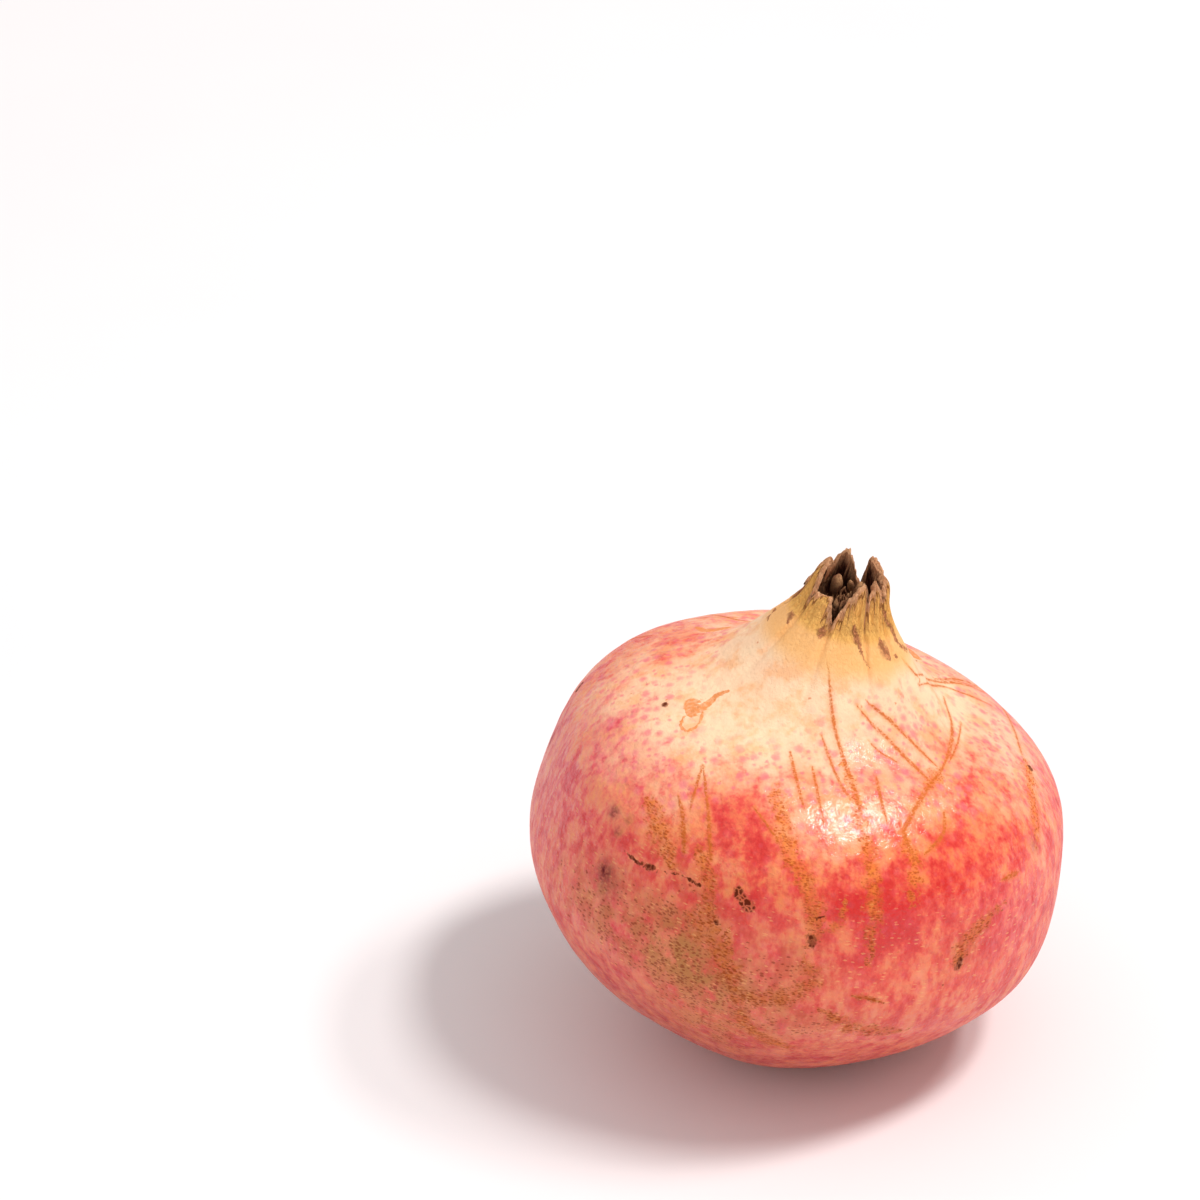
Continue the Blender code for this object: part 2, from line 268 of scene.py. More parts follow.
# The same kinds of marks on the sides that the camera doesn't see: turn and latitude in degrees
FAR_SCRATCHES = (
    Line(((118, 58), (124, 44), (122, 30), (127, 14)), 0.3, 0.6),
    Line(((150, 60), (158, 42), (163, 30)), 0.3, 0.5),
    Line(((-150, 62), (-143, 48), (-146, 33)), 0.3, 0.5),
    Line(((-118, 40), (-124, 22), (-121, 8)), 0.3, 0.4),
    Line(((-172, 30), (-178, 12), (178, -4)), 0.3, 0.6),
    Line(((95, -5), (103, -18), (100, -34)), 0.3, 0.4),
)
FAR_BRANCHES = (
    Line(((122, 42), (131, 30), (133, 18)), 0.3, 0.45),
    Line(((-147, 50), (-137, 40), (-134, 30)), 0.3, 0.4),
    Line(((-176, 20), (-167, 10), (-165, 0)), 0.3, 0.4),
)
FAR_BANDS = (
    Line(((127, 14), (130, -2), (124, -20)), 1.2, 2.6),
    Line(((-146, 33), (-150, 12), (-144, -8), (-150, -25)), 1.2, 3.2),
    Line(((178, -4), (170, -22), (176, -40)), 1.4, 3.0),
    Line(((-100, -12), (-112, -28), (-108, -45)), 2.0, 3.4),
    Line(((60, -32), (75, -45), (95, -50)), 1.6, 3.0),
)
FAR_PATCHES = (
    Line(((140, 52), (146, 49)), 3.0, 2.0),
    Line(((-128, 55), (-124, 51), (-126, 48)), 2.2, 1.0),
)
FAR_SCABS = (
    Line(((138, 8), (143, 6)), 1.2, 0.8),
    Line(((-160, 14), (-157, 13)), 1.0, 1.4),
    Line(((-105, 24), (-104, 23)), 1.3, 1.3),
    Line(((-30, -48), (-26, -50)), 1.2, 1.6),
)
FAR_BRUISES = (
    Spot((135, 8), 1.6, 0.7),
    Spot((-158, -14), 2.4, 0.6),
    Spot((-98, 12), 1.4, 0.6),
)
FAR_BARK = tuple(
    Line(((sepal.start, 79.5), (sepal.start + 3, 77.5), (sepal.start + 7, 75.5)), 1.6, 0.9)
    for sepal in SEPALS[4:]
)

# How red the rind is by latitude in degrees, and the patches that stand off from that
BLUSH_LATITUDES = (-90, -60, -30, 0, 18, 32, 42, 52, 62, 75, 90)
BLUSH_AMOUNTS = (0.50, 0.52, 0.56, 0.62, 0.64, 0.50, 0.31, 0.15, 0.08, 0.03, 0.0)
BLUSH = (
    Spot((590, 705), 9, -0.12),
    Spot((622, 690), 7, -0.12),
    Spot((650, 740), 9, -0.08),
    Spot((705, 745), 9, -0.08),
    Spot((760, 690), 14, -0.05),
    Spot((790, 790), 9, 0.08),
    Spot((860, 755), 9, 0.16),
    Spot((900, 775), 10, 0.08),
    Spot((900, 700), 10, 0.06),
    Spot((970, 765), 10, 0.2),
    Spot((740, 814), 4, 0.34),
    Spot((756, 846), 3, 0.25),
    Spot((857, 904), 3, 0.25),
    Spot((886, 924), 5, 0.25),
    Spot((748, 908), 4, 0.2),
    Spot((960, 860), 12, 0.14),
    Spot((890, 900), 12, 0.12),
    Spot((1010, 930), 10, 0.14),
    Spot((660, 830), 8, -0.06),
)
FAR_BLUSH = (
    Spot((120, 10), 20, 0.15),
    Spot((160, 45), 14, 0.22),
    Spot((-150, 0), 18, 0.18),
    Spot((-120, 48), 12, 0.25),
    Spot((180, -20), 14, -0.15),
    Spot((-110, -10), 12, -0.12),
)
PINK = (
    Spot((580, 760), 16, 0.9),
    Spot((640, 720), 12, 0.8),
    Spot((760, 720), 14, 0.6),
    Spot((870, 740), 11, 0.9),
    Spot((1000, 730), 12, 0.7),
    Spot((600, 930), 12, 0.6),
    Spot((760, 970), 9, 0.4),
    Spot((1020, 900), 10, 0.5),
)
FAR_PINK = (
    Spot((120, 40), 18, 0.8),
    Spot((-170, 30), 20, 0.8),
    Spot((-100, 10), 18, 0.6),
    Spot((150, -20), 16, 0.5),
)
# Tan dust, partly painted shade: these spots darken the lower body, most of all towards the lower left
TAN_AND_SHADE = (
    Spot((650, 950), 9, 0.7),
    Spot((700, 960), 8, 0.8),
    Spot((600, 900), 8, 0.7),
    Spot((740, 1010), 10, 0.7),
    Spot((700, 1030), 9, 0.5),
    Spot((680, 900), 6, 0.4),
    Spot((800, 960), 5, 0.4),
    Spot((820, 1030), 9, 0.3),
    Spot((960, 960), 5, 0.4),
    Spot((560, 880), 6, 0.4),
)
FAR_TAN = (
    Spot((-140, -25), 14, 0.6),
    Spot((160, -30), 14, 0.7),
    Spot((100, -40), 10, 0.4),
    Spot((-100, -35), 10, 0.6),
    Spot((40, -60), 12, 0.5),
)


def eased(value):
    """0 below 0, 1 above 1, and a smooth step between."""
    value = np.clip(value, 0.0, 1.0)
    return value * value * (3 - 2 * value)


def body_profile(angle):
    """Radius and height of the body's meridian: angle 0 is the base, pi/2 the equator."""
    lower = angle < math.pi / 2
    away = eased(np.abs(np.cos(angle)) / EQUATOR_BLEND)
    power = 2 + (np.where(lower, BASE_POWER, SHOULDER_POWER) - 2) * away
    depth = np.where(lower, BASE_DEPTH, SHOULDER_RISE)
    radius = EQUATOR_RADIUS * np.abs(np.sin(angle)) ** (2 / power)
    height = -depth * np.sign(np.cos(angle)) * np.abs(np.cos(angle)) ** (2 / power)
    dimple = DIMPLE_DEPTH * np.exp(-((radius / DIMPLE_WIDTH) ** 2))
    return radius, height + np.where(lower, dimple, 0.0)


def body_angle(radius, upper):
    """The meridian's angle where the body is this wide, below or above the equator."""
    power = SHOULDER_POWER if upper else BASE_POWER
    angle = math.asin((radius / EQUATOR_RADIUS) ** (power / 2))
    return math.pi - angle if upper else angle


def neck_profile(share):
    """Radius and height along the neck's curve: share 0 is the shoulder, 1 the collar."""
    angle = body_angle(SHOULDER_RADIUS, True)
    ends = np.array(body_profile(np.array([angle, angle + SLOPE_STEP])))
    start = ends[:, 0]
    off = (ends[:, 1] - start) / np.linalg.norm(ends[:, 1] - start)
    collar = np.array([COLLAR_RADIUS, COLLAR_HEIGHT])
    reach = np.linalg.norm(collar - start)
    first = start + off * reach * SHOULDER_PULL
    slope = np.array([-math.sin(NECK_SLOPE), math.cos(NECK_SLOPE)])
    last = collar - slope * reach * COLLAR_PULL
    share = np.asarray(share)[:, None]
    rest = 1 - share
    curve = rest**3 * start + 3 * share * rest**2 * first + 3 * share**2 * rest * last + share**3 * collar
    return curve[:, 0], curve[:, 1]


def sepal_values(field, number):
    """One field of every column's sepal."""
    return np.array([getattr(sepal, field) for sepal in SEPALS])[number]


def sepal_columns(columns):
    """For each column its turn on the body, its turn in the crown, its sepal, and its place across it."""
    share = np.arange(columns) / columns * len(SEPALS)
    notches = [sepal.start for sepal in SEPALS] + [SEPALS[0].start + 360]
    crown_turn = np.radians(np.interp(share, np.arange(len(SEPALS) + 1), notches))
    even_turn = np.arange(columns) / columns * 2 * math.pi
    even_turn += np.mean(crown_turn - even_turn)
    number = np.floor(share).astype(int)
    return even_turn, crown_turn, number, 2 * (share - number) - 1


def across_sepal(place, skew):
    """Place across the sepal, -1 to 1, with 0 moved to where the tip stands."""
    return np.where(place > skew, (place - skew) / (1 - skew), (place - skew) / (1 + skew))


def column_lengths(crown_turn, number, place):
    """How far each column runs above the collar: to a notch, a torn margin or a tip."""
    length = sepal_values("length", number)
    notch = sepal_values("notch", number)
    next_notch = sepal_values("notch", (number + 1) % len(SEPALS))
    low = notch + (next_notch - notch) * (place + 1) / 2
    lobe = 1 - np.abs(across_sepal(place, sepal_values("skew", number))) ** MARGIN_POWER
    tear = [noise.noise(Vector((13 * math.sin(turn), 13 * math.cos(turn), 4.0))) for turn in crown_turn]
    shred = [noise.noise(Vector((38 * math.sin(turn), 38 * math.cos(turn), 9.0))) for turn in crown_turn]
    torn = TEAR_DEPTH * (np.array(tear) + 0.6 * np.array(shred)) * eased(lobe / 0.3)
    return low + (length - low) * lobe + torn


def crown_paths(columns, steps):
    """The outer path of each column above the collar: radius, height, inclination, run and edge distance."""
    _, crown_turn, number, place = sepal_columns(columns)
    length = sepal_values("length", number)
    curl = np.radians(sepal_values("curl", number))
    column_length = column_lengths(crown_turn, number, place)
    share = np.linspace(0, 1, steps)[:, None]
    run = share * column_length
    stand = eased(run / STAND_LENGTH)
    curled = eased((run - (length - CURL_LENGTH)) / CURL_LENGTH)
    incline = NECK_SLOPE + (SEPAL_STAND - NECK_SLOPE) * stand + curl * curled
    middle = (incline[1:] + incline[:-1]) / 2
    step = np.diff(run, axis=0)
    none = np.zeros((1, columns))
    radius = COLLAR_RADIUS + np.cumsum(np.concatenate([none, -np.sin(middle) * step]), axis=0)
    height = COLLAR_HEIGHT + np.cumsum(np.concatenate([none, np.cos(middle) * step]), axis=0)
    width = (np.roll(crown_turn, -1) - np.roll(crown_turn, 1)) % (2 * math.pi) * np.maximum(radius, MM)
    climb = (np.roll(column_length, -1) - np.roll(column_length, 1)) / width
    edge = (column_length - run) / np.sqrt(1 + climb**2)
    return radius, height, incline, run, edge


def wall_thickness(run):
    """Thickness of the crown's wall at a length above the collar: thick neck, thin sepal."""
    wall = COLLAR_RADIUS - CUP_RADIUS
    return SEPAL_THICKNESS + (wall - SEPAL_THICKNESS) * (1 - eased(run / WALL_TAPER))


def wrinkles(columns, run, edge, seed):
    """Offsets of the dried crown's surface: folds along each sepal, crossing wrinkles and a rolled margin."""
    _, crown_turn, _, place = sepal_columns(columns)
    grow = eased(run / (5 * MM))
    high, fine_high = WRINKLE_HEIGHTS
    offset = np.zeros_like(run)
    for row in range(run.shape[0]):
        for column in range(columns):
            turn = crown_turn[column]
            spot = Vector((10 * math.sin(turn), 10 * math.cos(turn), seed + 170 * run[row, column]))
            fine = Vector((30 * math.sin(turn), 30 * math.cos(turn), seed - 260 * run[row, column]))
            offset[row, column] = high * noise.noise(spot) + fine_high * noise.noise(fine)
    fold = FOLD_HEIGHT * np.cos(2 * math.pi * place)
    roll = MARGIN_ROLL * np.exp(-((edge / (0.8 * MM)) ** 2))
    return offset * (0.35 + 0.65 * grow) + (fold + roll) * grow


def stations(columns):
    """Radius, height, crown edge distance and side of every row and column, from the stub to the cup."""
    root = body_angle(STUB_ROOT_RADIUS, False)
    shoulder = body_angle(SHOULDER_RADIUS, True)
    body_radius, body_height = body_profile(np.linspace(root, shoulder, BODY_ROWS))
    neck_radius, neck_height = neck_profile(np.linspace(0, 1, NECK_ROWS + 1)[1:])
    face = np.linspace(0, 1, STUB_ROWS)
    stub_radius = np.minimum(face * 1.35, 1.0) * STUB_RADIUS
    stub_height = body_height[0] - (1 - 0.15 * eased((face - 0.7) / 0.3) - 0.12 * (1 - face)) * STUB_LENGTH
    low_radius = np.concatenate([stub_radius, body_radius, neck_radius])
    low_height = np.concatenate([stub_height, body_height, neck_height])
    rows = [np.repeat(low_radius[:, None], columns, axis=1)]
    heights = [np.repeat(low_height[:, None], columns, axis=1)]
    far = 30 * MM
    edges = [np.full(rows[0].shape, far)]
    sides = [np.zeros(rows[0].shape)]

    outer_radius, outer_height, incline, run, edge = crown_paths(columns, CROWN_ROWS + 1)
    thick = wall_thickness(run) * (1 - MARGIN_THINNING * (1 - eased(edge / MARGIN_THIN_WIDTH)))
    out = wrinkles(columns, run, edge, 3.0)
    inward = wrinkles(columns, run, edge, 57.0)
    outer_radius = outer_radius + np.cos(incline) * out
    outer_height = outer_height + np.sin(incline) * out
    rows.append(outer_radius[1:])
    heights.append(outer_height[1:])
    edges.append(edge[1:])
    sides.append(np.zeros(edge[1:].shape))

    top = (thick[-1] + out[-1] + inward[-1]) / 2
    for turn in np.linspace(0, math.pi, RIM_ROWS + 2)[1:-1]:
        across = top * (1 - math.cos(turn))
        beyond = 0.5 * thick[-1] * math.sin(turn)
        rows.append((outer_radius[-1] - np.cos(incline[-1]) * across - np.sin(incline[-1]) * beyond)[None])
        heights.append((outer_height[-1] - np.sin(incline[-1]) * across + np.cos(incline[-1]) * beyond)[None])
        edges.append(np.zeros((1, columns)))
        sides.append(np.full((1, columns), turn / math.pi))

    inner_radius = outer_radius - np.cos(incline) * (thick + out + inward)
    inner_height = outer_height - np.sin(incline) * (thick + out + inward)
    rows.append(inner_radius[::-1][:INSIDE_ROWS])
    heights.append(inner_height[::-1][:INSIDE_ROWS])
    edges.append(edge[::-1][:INSIDE_ROWS])
    sides.append(np.ones((INSIDE_ROWS, columns)))

    floor = COLLAR_HEIGHT - CUP_DEPTH
    for share in np.linspace(1, 0, CUP_ROWS + 1):
        rows.append(np.full((1, columns), CUP_RADIUS * share))
        heights.append(np.full((1, columns), floor - CUP_DISH * math.cos(share * math.pi / 2)))
        edges.append(np.full((1, columns), far))
        sides.append(np.ones((1, columns)))
    return tuple(np.concatenate(part) for part in (rows, heights, edges, sides))


def body_relief(points, turn):
    """The offset that makes the plain turned body swell and flatten as a grown one does."""
    out = points / np.maximum(np.linalg.norm(points, axis=-1, keepdims=True), MM)
    level_share = np.clip(np.hypot(out[..., 0], out[..., 1]), 0, 1) ** 2
    rise = FACET_HEIGHT * np.cos(FACET_COUNT * turn) * level_share
    for swell_turn, latitude, spread, height in SWELLS:
        apart = np.arccos(np.clip(out @ direction(swell_turn, latitude), -1, 1))
        rise = rise + height * np.exp(-((apart / math.radians(spread)) ** 2))
    return out * rise[..., None]


def direction(turn, latitude):
    """The direction from the body's middle to a turn and latitude, in the fruit's own axes."""
    turn, latitude = math.radians(turn), math.radians(latitude)
    return np.array([math.cos(latitude) * math.sin(turn), -math.cos(latitude) * math.cos(turn), math.sin(latitude)])


def climbed(height, start):
    """0 up to a height over the body's middle, 1 from the collar up, and a smooth step between."""
    return eased((height - start) / (COLLAR_HEIGHT - start))


def fruit_grid(columns):
    """Every point of the rind in the fruit's own axes by row and column, and what the finish needs there."""
    radius, height, edge, side = stations(columns)
    even_turn, crown_turn, number, place = sepal_columns(columns)
    turn = even_turn + (crown_turn - even_turn) * climbed(height, GATHER_HEIGHT)
    on_neck = climbed(height, NECK_HEIGHT)
    outside = np.arange(len(radius))[:, None] < STUB_ROWS + BODY_ROWS + NECK_ROWS + CROWN_ROWS
    near_notch = np.exp(-(((np.abs(place) - 1) / FURROW_WIDTH) ** 2)) * on_neck
    furrow = FURROW_DEPTH * outside * near_notch
    swell = 4 * on_neck * (1 - on_neck) * np.cos(place * math.pi / 2) ** 2
    rib = sepal_values("rib", number) * outside * swell
    radius = radius - furrow + rib
    bend = NECK_BEND * climbed(height, BEND_HEIGHT)
    points = np.stack([radius * np.sin(turn) + bend, -radius * np.cos(turn), height], axis=-1)
    points = points + body_relief(points, turn) * (1 - on_neck)[..., None]
    latitude = np.arctan2(height, np.maximum(radius, 0.1 * MM))
    above = np.clip((height - COLLAR_HEIGHT) / (3 * MM), 0, 1) * np.ones_like(edge)
    finish = {
        "edge": edge / MM,
        "side": side,
        "neck": on_neck,
        "sepal": np.where(side > 0, 1.0, above),
        "furrow": near_notch * outside,
        "stalk": np.exp(-((radius / SCAR_RADIUS) ** 4)) * (height < 0),
    }
    streak = np.stack([np.sin(turn), -np.cos(turn), latitude], axis=-1)
    return points, finish, streak


def leaning():
    """The matrix from the fruit's own axes to the frame."""
    return Matrix.Translation((*REST_OFFSET, REST_HEIGHT)) @ Matrix.Rotation(LEAN, 4, "Y")


def camera_axes():
    """The camera's place and its right, up and forward directions."""
    right = Vector((1, 0, 0))
    forward = Vector((0, math.cos(CAMERA_ELEVATION), -math.sin(CAMERA_ELEVATION)))
    up = right.cross(forward)
    middle = Vector((*REST_OFFSET, REST_HEIGHT))
    across = (BODY_PIXEL[0] - PHOTO_SIZE / 2) / FOCAL_PIXELS * CAMERA_DEPTH
    along = (PHOTO_SIZE / 2 - BODY_PIXEL[1]) / FOCAL_PIXELS * CAMERA_DEPTH
    return middle - right * across - up * along - forward * CAMERA_DEPTH, right, up, forward


def seen_point(tree, pixel):
    """The point of the fruit that the photograph shows at a pixel."""
    place, right, up, forward = camera_axes()
    across = (pixel[0] - PHOTO_SIZE / 2) / FOCAL_PIXELS
    along = (PHOTO_SIZE / 2 - pixel[1]) / FOCAL_PIXELS
    ray = (forward + right * across + up * along).normalized()
    hit, _, _, _ = tree.ray_cast(place, ray)
    if hit is None:
        hit, _, _, _ = tree.find_nearest(place + ray * CAMERA_DEPTH)
    return hit


def far_point(tree, place):
    """The point of the fruit at a turn and latitude."""
    middle = Vector((*REST_OFFSET, REST_HEIGHT))
    ray = leaning().to_3x3() @ Vector(direction(*place))
    hit, _, _, _ = tree.ray_cast(middle, ray)
    return hit


def line_samples(tree, find, lines, taper, spacing=0.25 * MM):
    """Close points along each line on the fruit, each with the line's width there: less near its ends."""
    samples = []
    for line in lines:
        corners = [find(tree, place) for place in line.places]
        ends = [2 * corners[0] - corners[1]] + corners + [2 * corners[-1] - corners[-2]]
        count = len(corners) - 1
        for part in range(count):
            before, start, stop, after = ends[part : part + 4]
            steps = max(2, math.ceil((stop - start).length / spacing))
            for step in range(steps + 1):
                t = step / steps
                point = (
                    2 * start
                    + (stop - before) * t
                    + (2 * before - 5 * start + 4 * stop - after) * t**2
                    + (3 * start - before - 3 * stop + after) * t**3
                ) / 2
                share = (part + t) / count
                on_skin = tree.find_nearest(point)[0]
                narrow = min(1.0, (0.15 + min(share, 1 - share)) / (0.15 + taper))
                samples.append((on_skin, narrow * (line.first + (line.last - line.first) * share)))
    return samples


def line_field(points, samples):
    """For every point the vector to the nearest line, its length, and that line's width, in millimetres."""
    tree = KDTree(len(samples))
    for index, (place, _) in enumerate(samples):
        tree.insert(place, index)
    tree.balance()
    gap = np.zeros((len(points), 3))
    width = np.zeros(len(points))
    for index, point in enumerate(points):
        place, nearest, _ = tree.find(point)
        gap[index] = (place - point) / MM
        width[index] = samples[nearest][1]
    return gap, np.linalg.norm(gap, axis=1), width


def spot_field(points, tree, seen, far):
    """The sum of all soft spots at every point."""
    total = np.zeros(len(points))
    for find, spots in ((seen_point, seen), (far_point, far)):
        for spot in spots:
            apart = np.linalg.norm(points - np.array(find(tree, spot.place)), axis=1) / MM
            total += spot.amount * np.exp(-((apart / spot.reach) ** 2))
    return total


def put_values(mesh, name, values):
    """Keeps one number, or one vector, for each vertex of a mesh under a name."""
    kind = "FLOAT" if values.ndim == 1 else "FLOAT_VECTOR"
    layer = mesh.attributes.new(name, kind, "POINT")
    layer.data.foreach_set("value" if values.ndim == 1 else "vector", values.astype(np.float32).ravel())


def closed_grid(rows, columns):
    """Row and column of each point of a grid that is wrapped round and closed at both ends, and its faces."""
    middle = np.arange(1, rows - 1)
    row = np.concatenate([[0], np.repeat(middle, columns), [rows - 1]])
    column = np.concatenate([[0], np.tile(np.arange(columns), rows - 2), [0]])
    last = len(row) - 1
    here = np.arange(columns)
    after = (here + 1) % columns
    faces = [(0, 1 + right, 1 + left) for left, right in zip(here.tolist(), after.tolist())]
    for low in range(rows - 3):
        base = 1 + low * columns
        for left, right in zip(here.tolist(), after.tolist()):
            faces.append((base + left, base + right, base + columns + right, base + columns + left))
    top = last - columns
    faces += [(top + left, top + right, last) for left, right in zip(here.tolist(), after.tolist())]
    return row, column, faces


def make_rind(material):
    """The fine rind with its neck, crown, cup and stub, in rows and columns on the fruit's form."""
    columns = COLUMNS_PER_SEPAL * len(SEPALS)
    grid, finish, streak = fruit_grid(columns)
    row, column, faces = closed_grid(len(grid), columns)
    for end in (0, -1):
        grid[end] = grid[end].mean(axis=0)
    place = np.array(leaning())
    points = grid[row, column] @ place[:3, :3].T + place[:3, 3]
    points = points + fine_dents(points, finish["neck"][row, column])
    points[:, 2] = np.maximum(points[:, 2], 0)
    mesh = bpy.data.meshes.new("rind")
    mesh.from_pydata(points.tolist(), [], faces)
    turn_faces_out(mesh)
    for name, values in finish.items():
        put_values(mesh, name, values[row, column])
    put_values(mesh, "streak", streak[row, column])
    paint_markings(mesh, points)
    mesh.shade_smooth()
    mesh.materials.append(material)
    rind = bpy.data.objects.new("rind", mesh)
    bpy.context.scene.collection.objects.link(rind)
    return rind


def turn_faces_out(mesh):
    """Makes every face of a closed mesh look outwards."""
    bm = bmesh.new()
    bm.from_mesh(mesh)
    bmesh.ops.recalc_face_normals(bm, faces=bm.faces)
    bm.to_mesh(mesh)
    bm.free()


def fine_dents(points, neck):
    """The small unevenness of a grown rind, less on the neck."""
    middle = np.array([*REST_OFFSET, REST_HEIGHT])
    offset = np.zeros(len(points))
    for index, point in enumerate(points):
        wide = noise.noise(Vector(point) * 95)
        small = noise.noise(Vector(point) * 330)
        offset[index] = DENT_HEIGHTS[0] * wide + DENT_HEIGHTS[1] * small
    out = points - middle
    out = out / np.linalg.norm(out, axis=1, keepdims=True)
    return out * (offset * (1 - 0.6 * neck))[:, None]


def paint_markings(mesh, points):
    """Keeps on the mesh where its lines, bands, patches, scabs, blush, and tan dust with painted shade lie."""
    tree = BVHTree.FromPolygons(points.tolist(), [face.vertices[:] for face in mesh.polygons])
    vectors = [Vector(point) for point in points]
    kinds = {
        "scratch": (SCRATCHES, FAR_SCRATCHES),
        "branch": (BRANCHES, FAR_BRANCHES),
        "band": (BANDS, FAR_BANDS),
        "patch": (PATCHES, FAR_PATCHES),
        "scab": (SCABS, FAR_SCABS),
        "bark": (BARK, FAR_BARK),
    }
    for name, (seen, far) in kinds.items():
        taper = 0.0 if name in ("patch", "scab") else 0.2
        samples = line_samples(tree, seen_point, seen, taper) + line_samples(tree, far_point, far, taper)
        gap, distance, width = line_field(vectors, samples)
        put_values(mesh, name + "_gap", gap)
        put_values(mesh, name + "_distance", distance)
        put_values(mesh, name + "_width", width)
    own = (points - np.array([*REST_OFFSET, REST_HEIGHT])) @ np.array(leaning())[:3, :3]
    latitude = np.degrees(np.arctan2(own[:, 2], np.hypot(own[:, 0], own[:, 1])))
    blush = np.interp(latitude, BLUSH_LATITUDES, BLUSH_AMOUNTS)
    put_values(mesh, "blush", blush + spot_field(points, tree, BLUSH, FAR_BLUSH))
    put_values(mesh, "pink", spot_field(points, tree, PINK, FAR_PINK))
    put_values(mesh, "tan_and_shade", spot_field(points, tree, TAN_AND_SHADE, FAR_TAN))
    put_values(mesh, "bruise", spot_field(points, tree, BRUISES, FAR_BRUISES))


def linear(red, green, blue):
    """A screen colour from 0 to 255 as the light values that a shader takes."""
    shares = [value / 255 for value in (red, green, blue)]
    return (*[s / 12.92 if s <= 0.04045 else ((s + 0.055) / 1.055) ** 2.4 for s in shares], 1.0)


class Wiring:
    """Adds nodes to a tree: each method adds one and gives its output, so that effects read as formulas."""

    def __init__(self, tree):
        self.tree = tree
        self.count = 0

    def node(self, kind, **settings):
        node = self.tree.nodes.new(kind)
        node.location = (220 * (self.count % 12), -260 * (self.count // 12))
        self.count += 1
        for name, value in settings.items():
            setattr(node, name, value)
        return node

    def feed(self, socket, value):
        if isinstance(value, bpy.types.NodeSocket):
            self.tree.links.new(value, socket)
        else:
            socket.default_value = value

    def math(self, operation, *values, clamp=False):
        node = self.node("ShaderNodeMath", operation=operation, use_clamp=clamp)
        for socket, value in zip(node.inputs, values):
            self.feed(socket, value)
        return node.outputs[0]

    def vector(self, operation, *values, output="Vector"):
        node = self.node("ShaderNodeVectorMath", operation=operation)
        for socket, value in zip(node.inputs, values):
            self.feed(socket, value)
        return node.outputs[output]

    def scaled(self, vector, share):
        node = self.node("ShaderNodeVectorMath", operation="SCALE")
        self.feed(node.inputs["Vector"], vector)
        self.feed(node.inputs["Scale"], share)
        return node.outputs["Vector"]

    def noise(self, vector, scale, detail=2.0, roughness=0.5, distortion=0.0, output="Fac"):
        node = self.node("ShaderNodeTexNoise")
        names = ("Vector", "Scale", "Detail", "Roughness", "Distortion")
        for name, value in zip(names, (vector, scale, detail, roughness, distortion)):
            self.feed(node.inputs[name], value)
        return node.outputs[output]

    def cells(self, vector, scale, randomness=1.0, feature="F1"):
        node = self.node("ShaderNodeTexVoronoi", feature=feature)
        for name, value in (("Vector", vector), ("Scale", scale), ("Randomness", randomness)):
            self.feed(node.inputs[name], value)
        return node

    def between(self, value, low, high, first=0.0, last=1.0):
        node = self.node("ShaderNodeMapRange", interpolation_type="SMOOTHSTEP")
        names = ("Value", "From Min", "From Max", "To Min", "To Max")
        for name, item in zip(names, (value, low, high, first, last)):
            self.feed(node.inputs[name], item)
        return node.outputs["Result"]

    def mix(self, share, first, second, blend="MIX"):
        node = self.node("ShaderNodeMix", data_type="RGBA", blend_type=blend)
        for socket, value in zip((node.inputs[0], node.inputs[6], node.inputs[7]), (share, first, second)):
            self.feed(socket, value)
        return node.outputs[2]

    def ramp(self, share, stops):
        node = self.node("ShaderNodeValToRGB")
        elements = node.color_ramp.elements
        for index, (position, colour) in enumerate(stops):
            element = elements[index] if index < 2 else elements.new(position)
            element.position = position
            element.color = colour
        self.feed(node.inputs[0], share)
        return node.outputs["Color"]

    def kept(self, name, output="Fac"):
        return self.node("ShaderNodeAttribute", attribute_name=name).outputs[output]

    def place(self, group, **values):
        node = self.node("ShaderNodeGroup", node_tree=group)
        for name, value in values.items():
            self.feed(node.inputs[name.replace("_", " ").title()], value)
        return node

    def bump(self, height, distance, strength=1.0, normal=None):
        node = self.node("ShaderNodeBump")
        self.feed(node.inputs["Height"], height)
        self.feed(node.inputs["Distance"], distance)
        self.feed(node.inputs["Strength"], strength)
        if normal is not None:
            self.feed(node.inputs["Normal"], normal)
        return node.outputs["Normal"]


def new_group(name, inputs, outputs):
    """An empty shader group with named inputs and outputs, and its wiring."""
    tree = bpy.data.node_groups.new(name, "ShaderNodeTree")
    for title, kind, value in inputs:
        socket = tree.interface.new_socket(title, in_out="INPUT", socket_type=kind)
        if value is not None:
            socket.default_value = value
    for title, kind in outputs:
        tree.interface.new_socket(title, in_out="OUTPUT", socket_type=kind)
    wiring = Wiring(tree)
    return tree, wiring, wiring.node("NodeGroupInput").outputs, wiring.node("NodeGroupOutput").inputs


def speckle_group():
    """Scattered dots: each cell has one of its own size, and only a share of the cells has any."""
    inputs = (
        ("Place", "NodeSocketVector", None),
        ("Scale", "NodeSocketFloat", 1.0),
        ("Size", "NodeSocketFloat", 0.3),
        ("Share", "NodeSocketFloat", 0.5),
        ("Softness", "NodeSocketFloat", 0.1),
    )
    tree, w, given, result = new_group("speckle", inputs, (("Mask", "NodeSocketFloat"),))
    ragged = w.noise(given["Place"], 2.6, 2.0, 0.6, output="Color")
    bent = w.vector("ADD", given["Place"], w.scaled(ragged, 0.5))
    cell = w.cells(bent, given["Scale"])
    draw = w.node("ShaderNodeSeparateColor")
    w.feed(draw.inputs[0], cell.outputs["Color"])
    size = w.math("MULTIPLY", given["Size"], w.math("ADD", w.math("MULTIPLY", draw.outputs[1], 0.9), 0.35))
    outer = w.math("ADD", size, given["Softness"])
    dot = w.between(cell.outputs["Distance"], size, outer, 1.0, 0.0)
    present = w.math("LESS_THAN", draw.outputs[0], given["Share"])
    w.feed(result["Mask"], w.math("MULTIPLY", dot, present))
    return tree


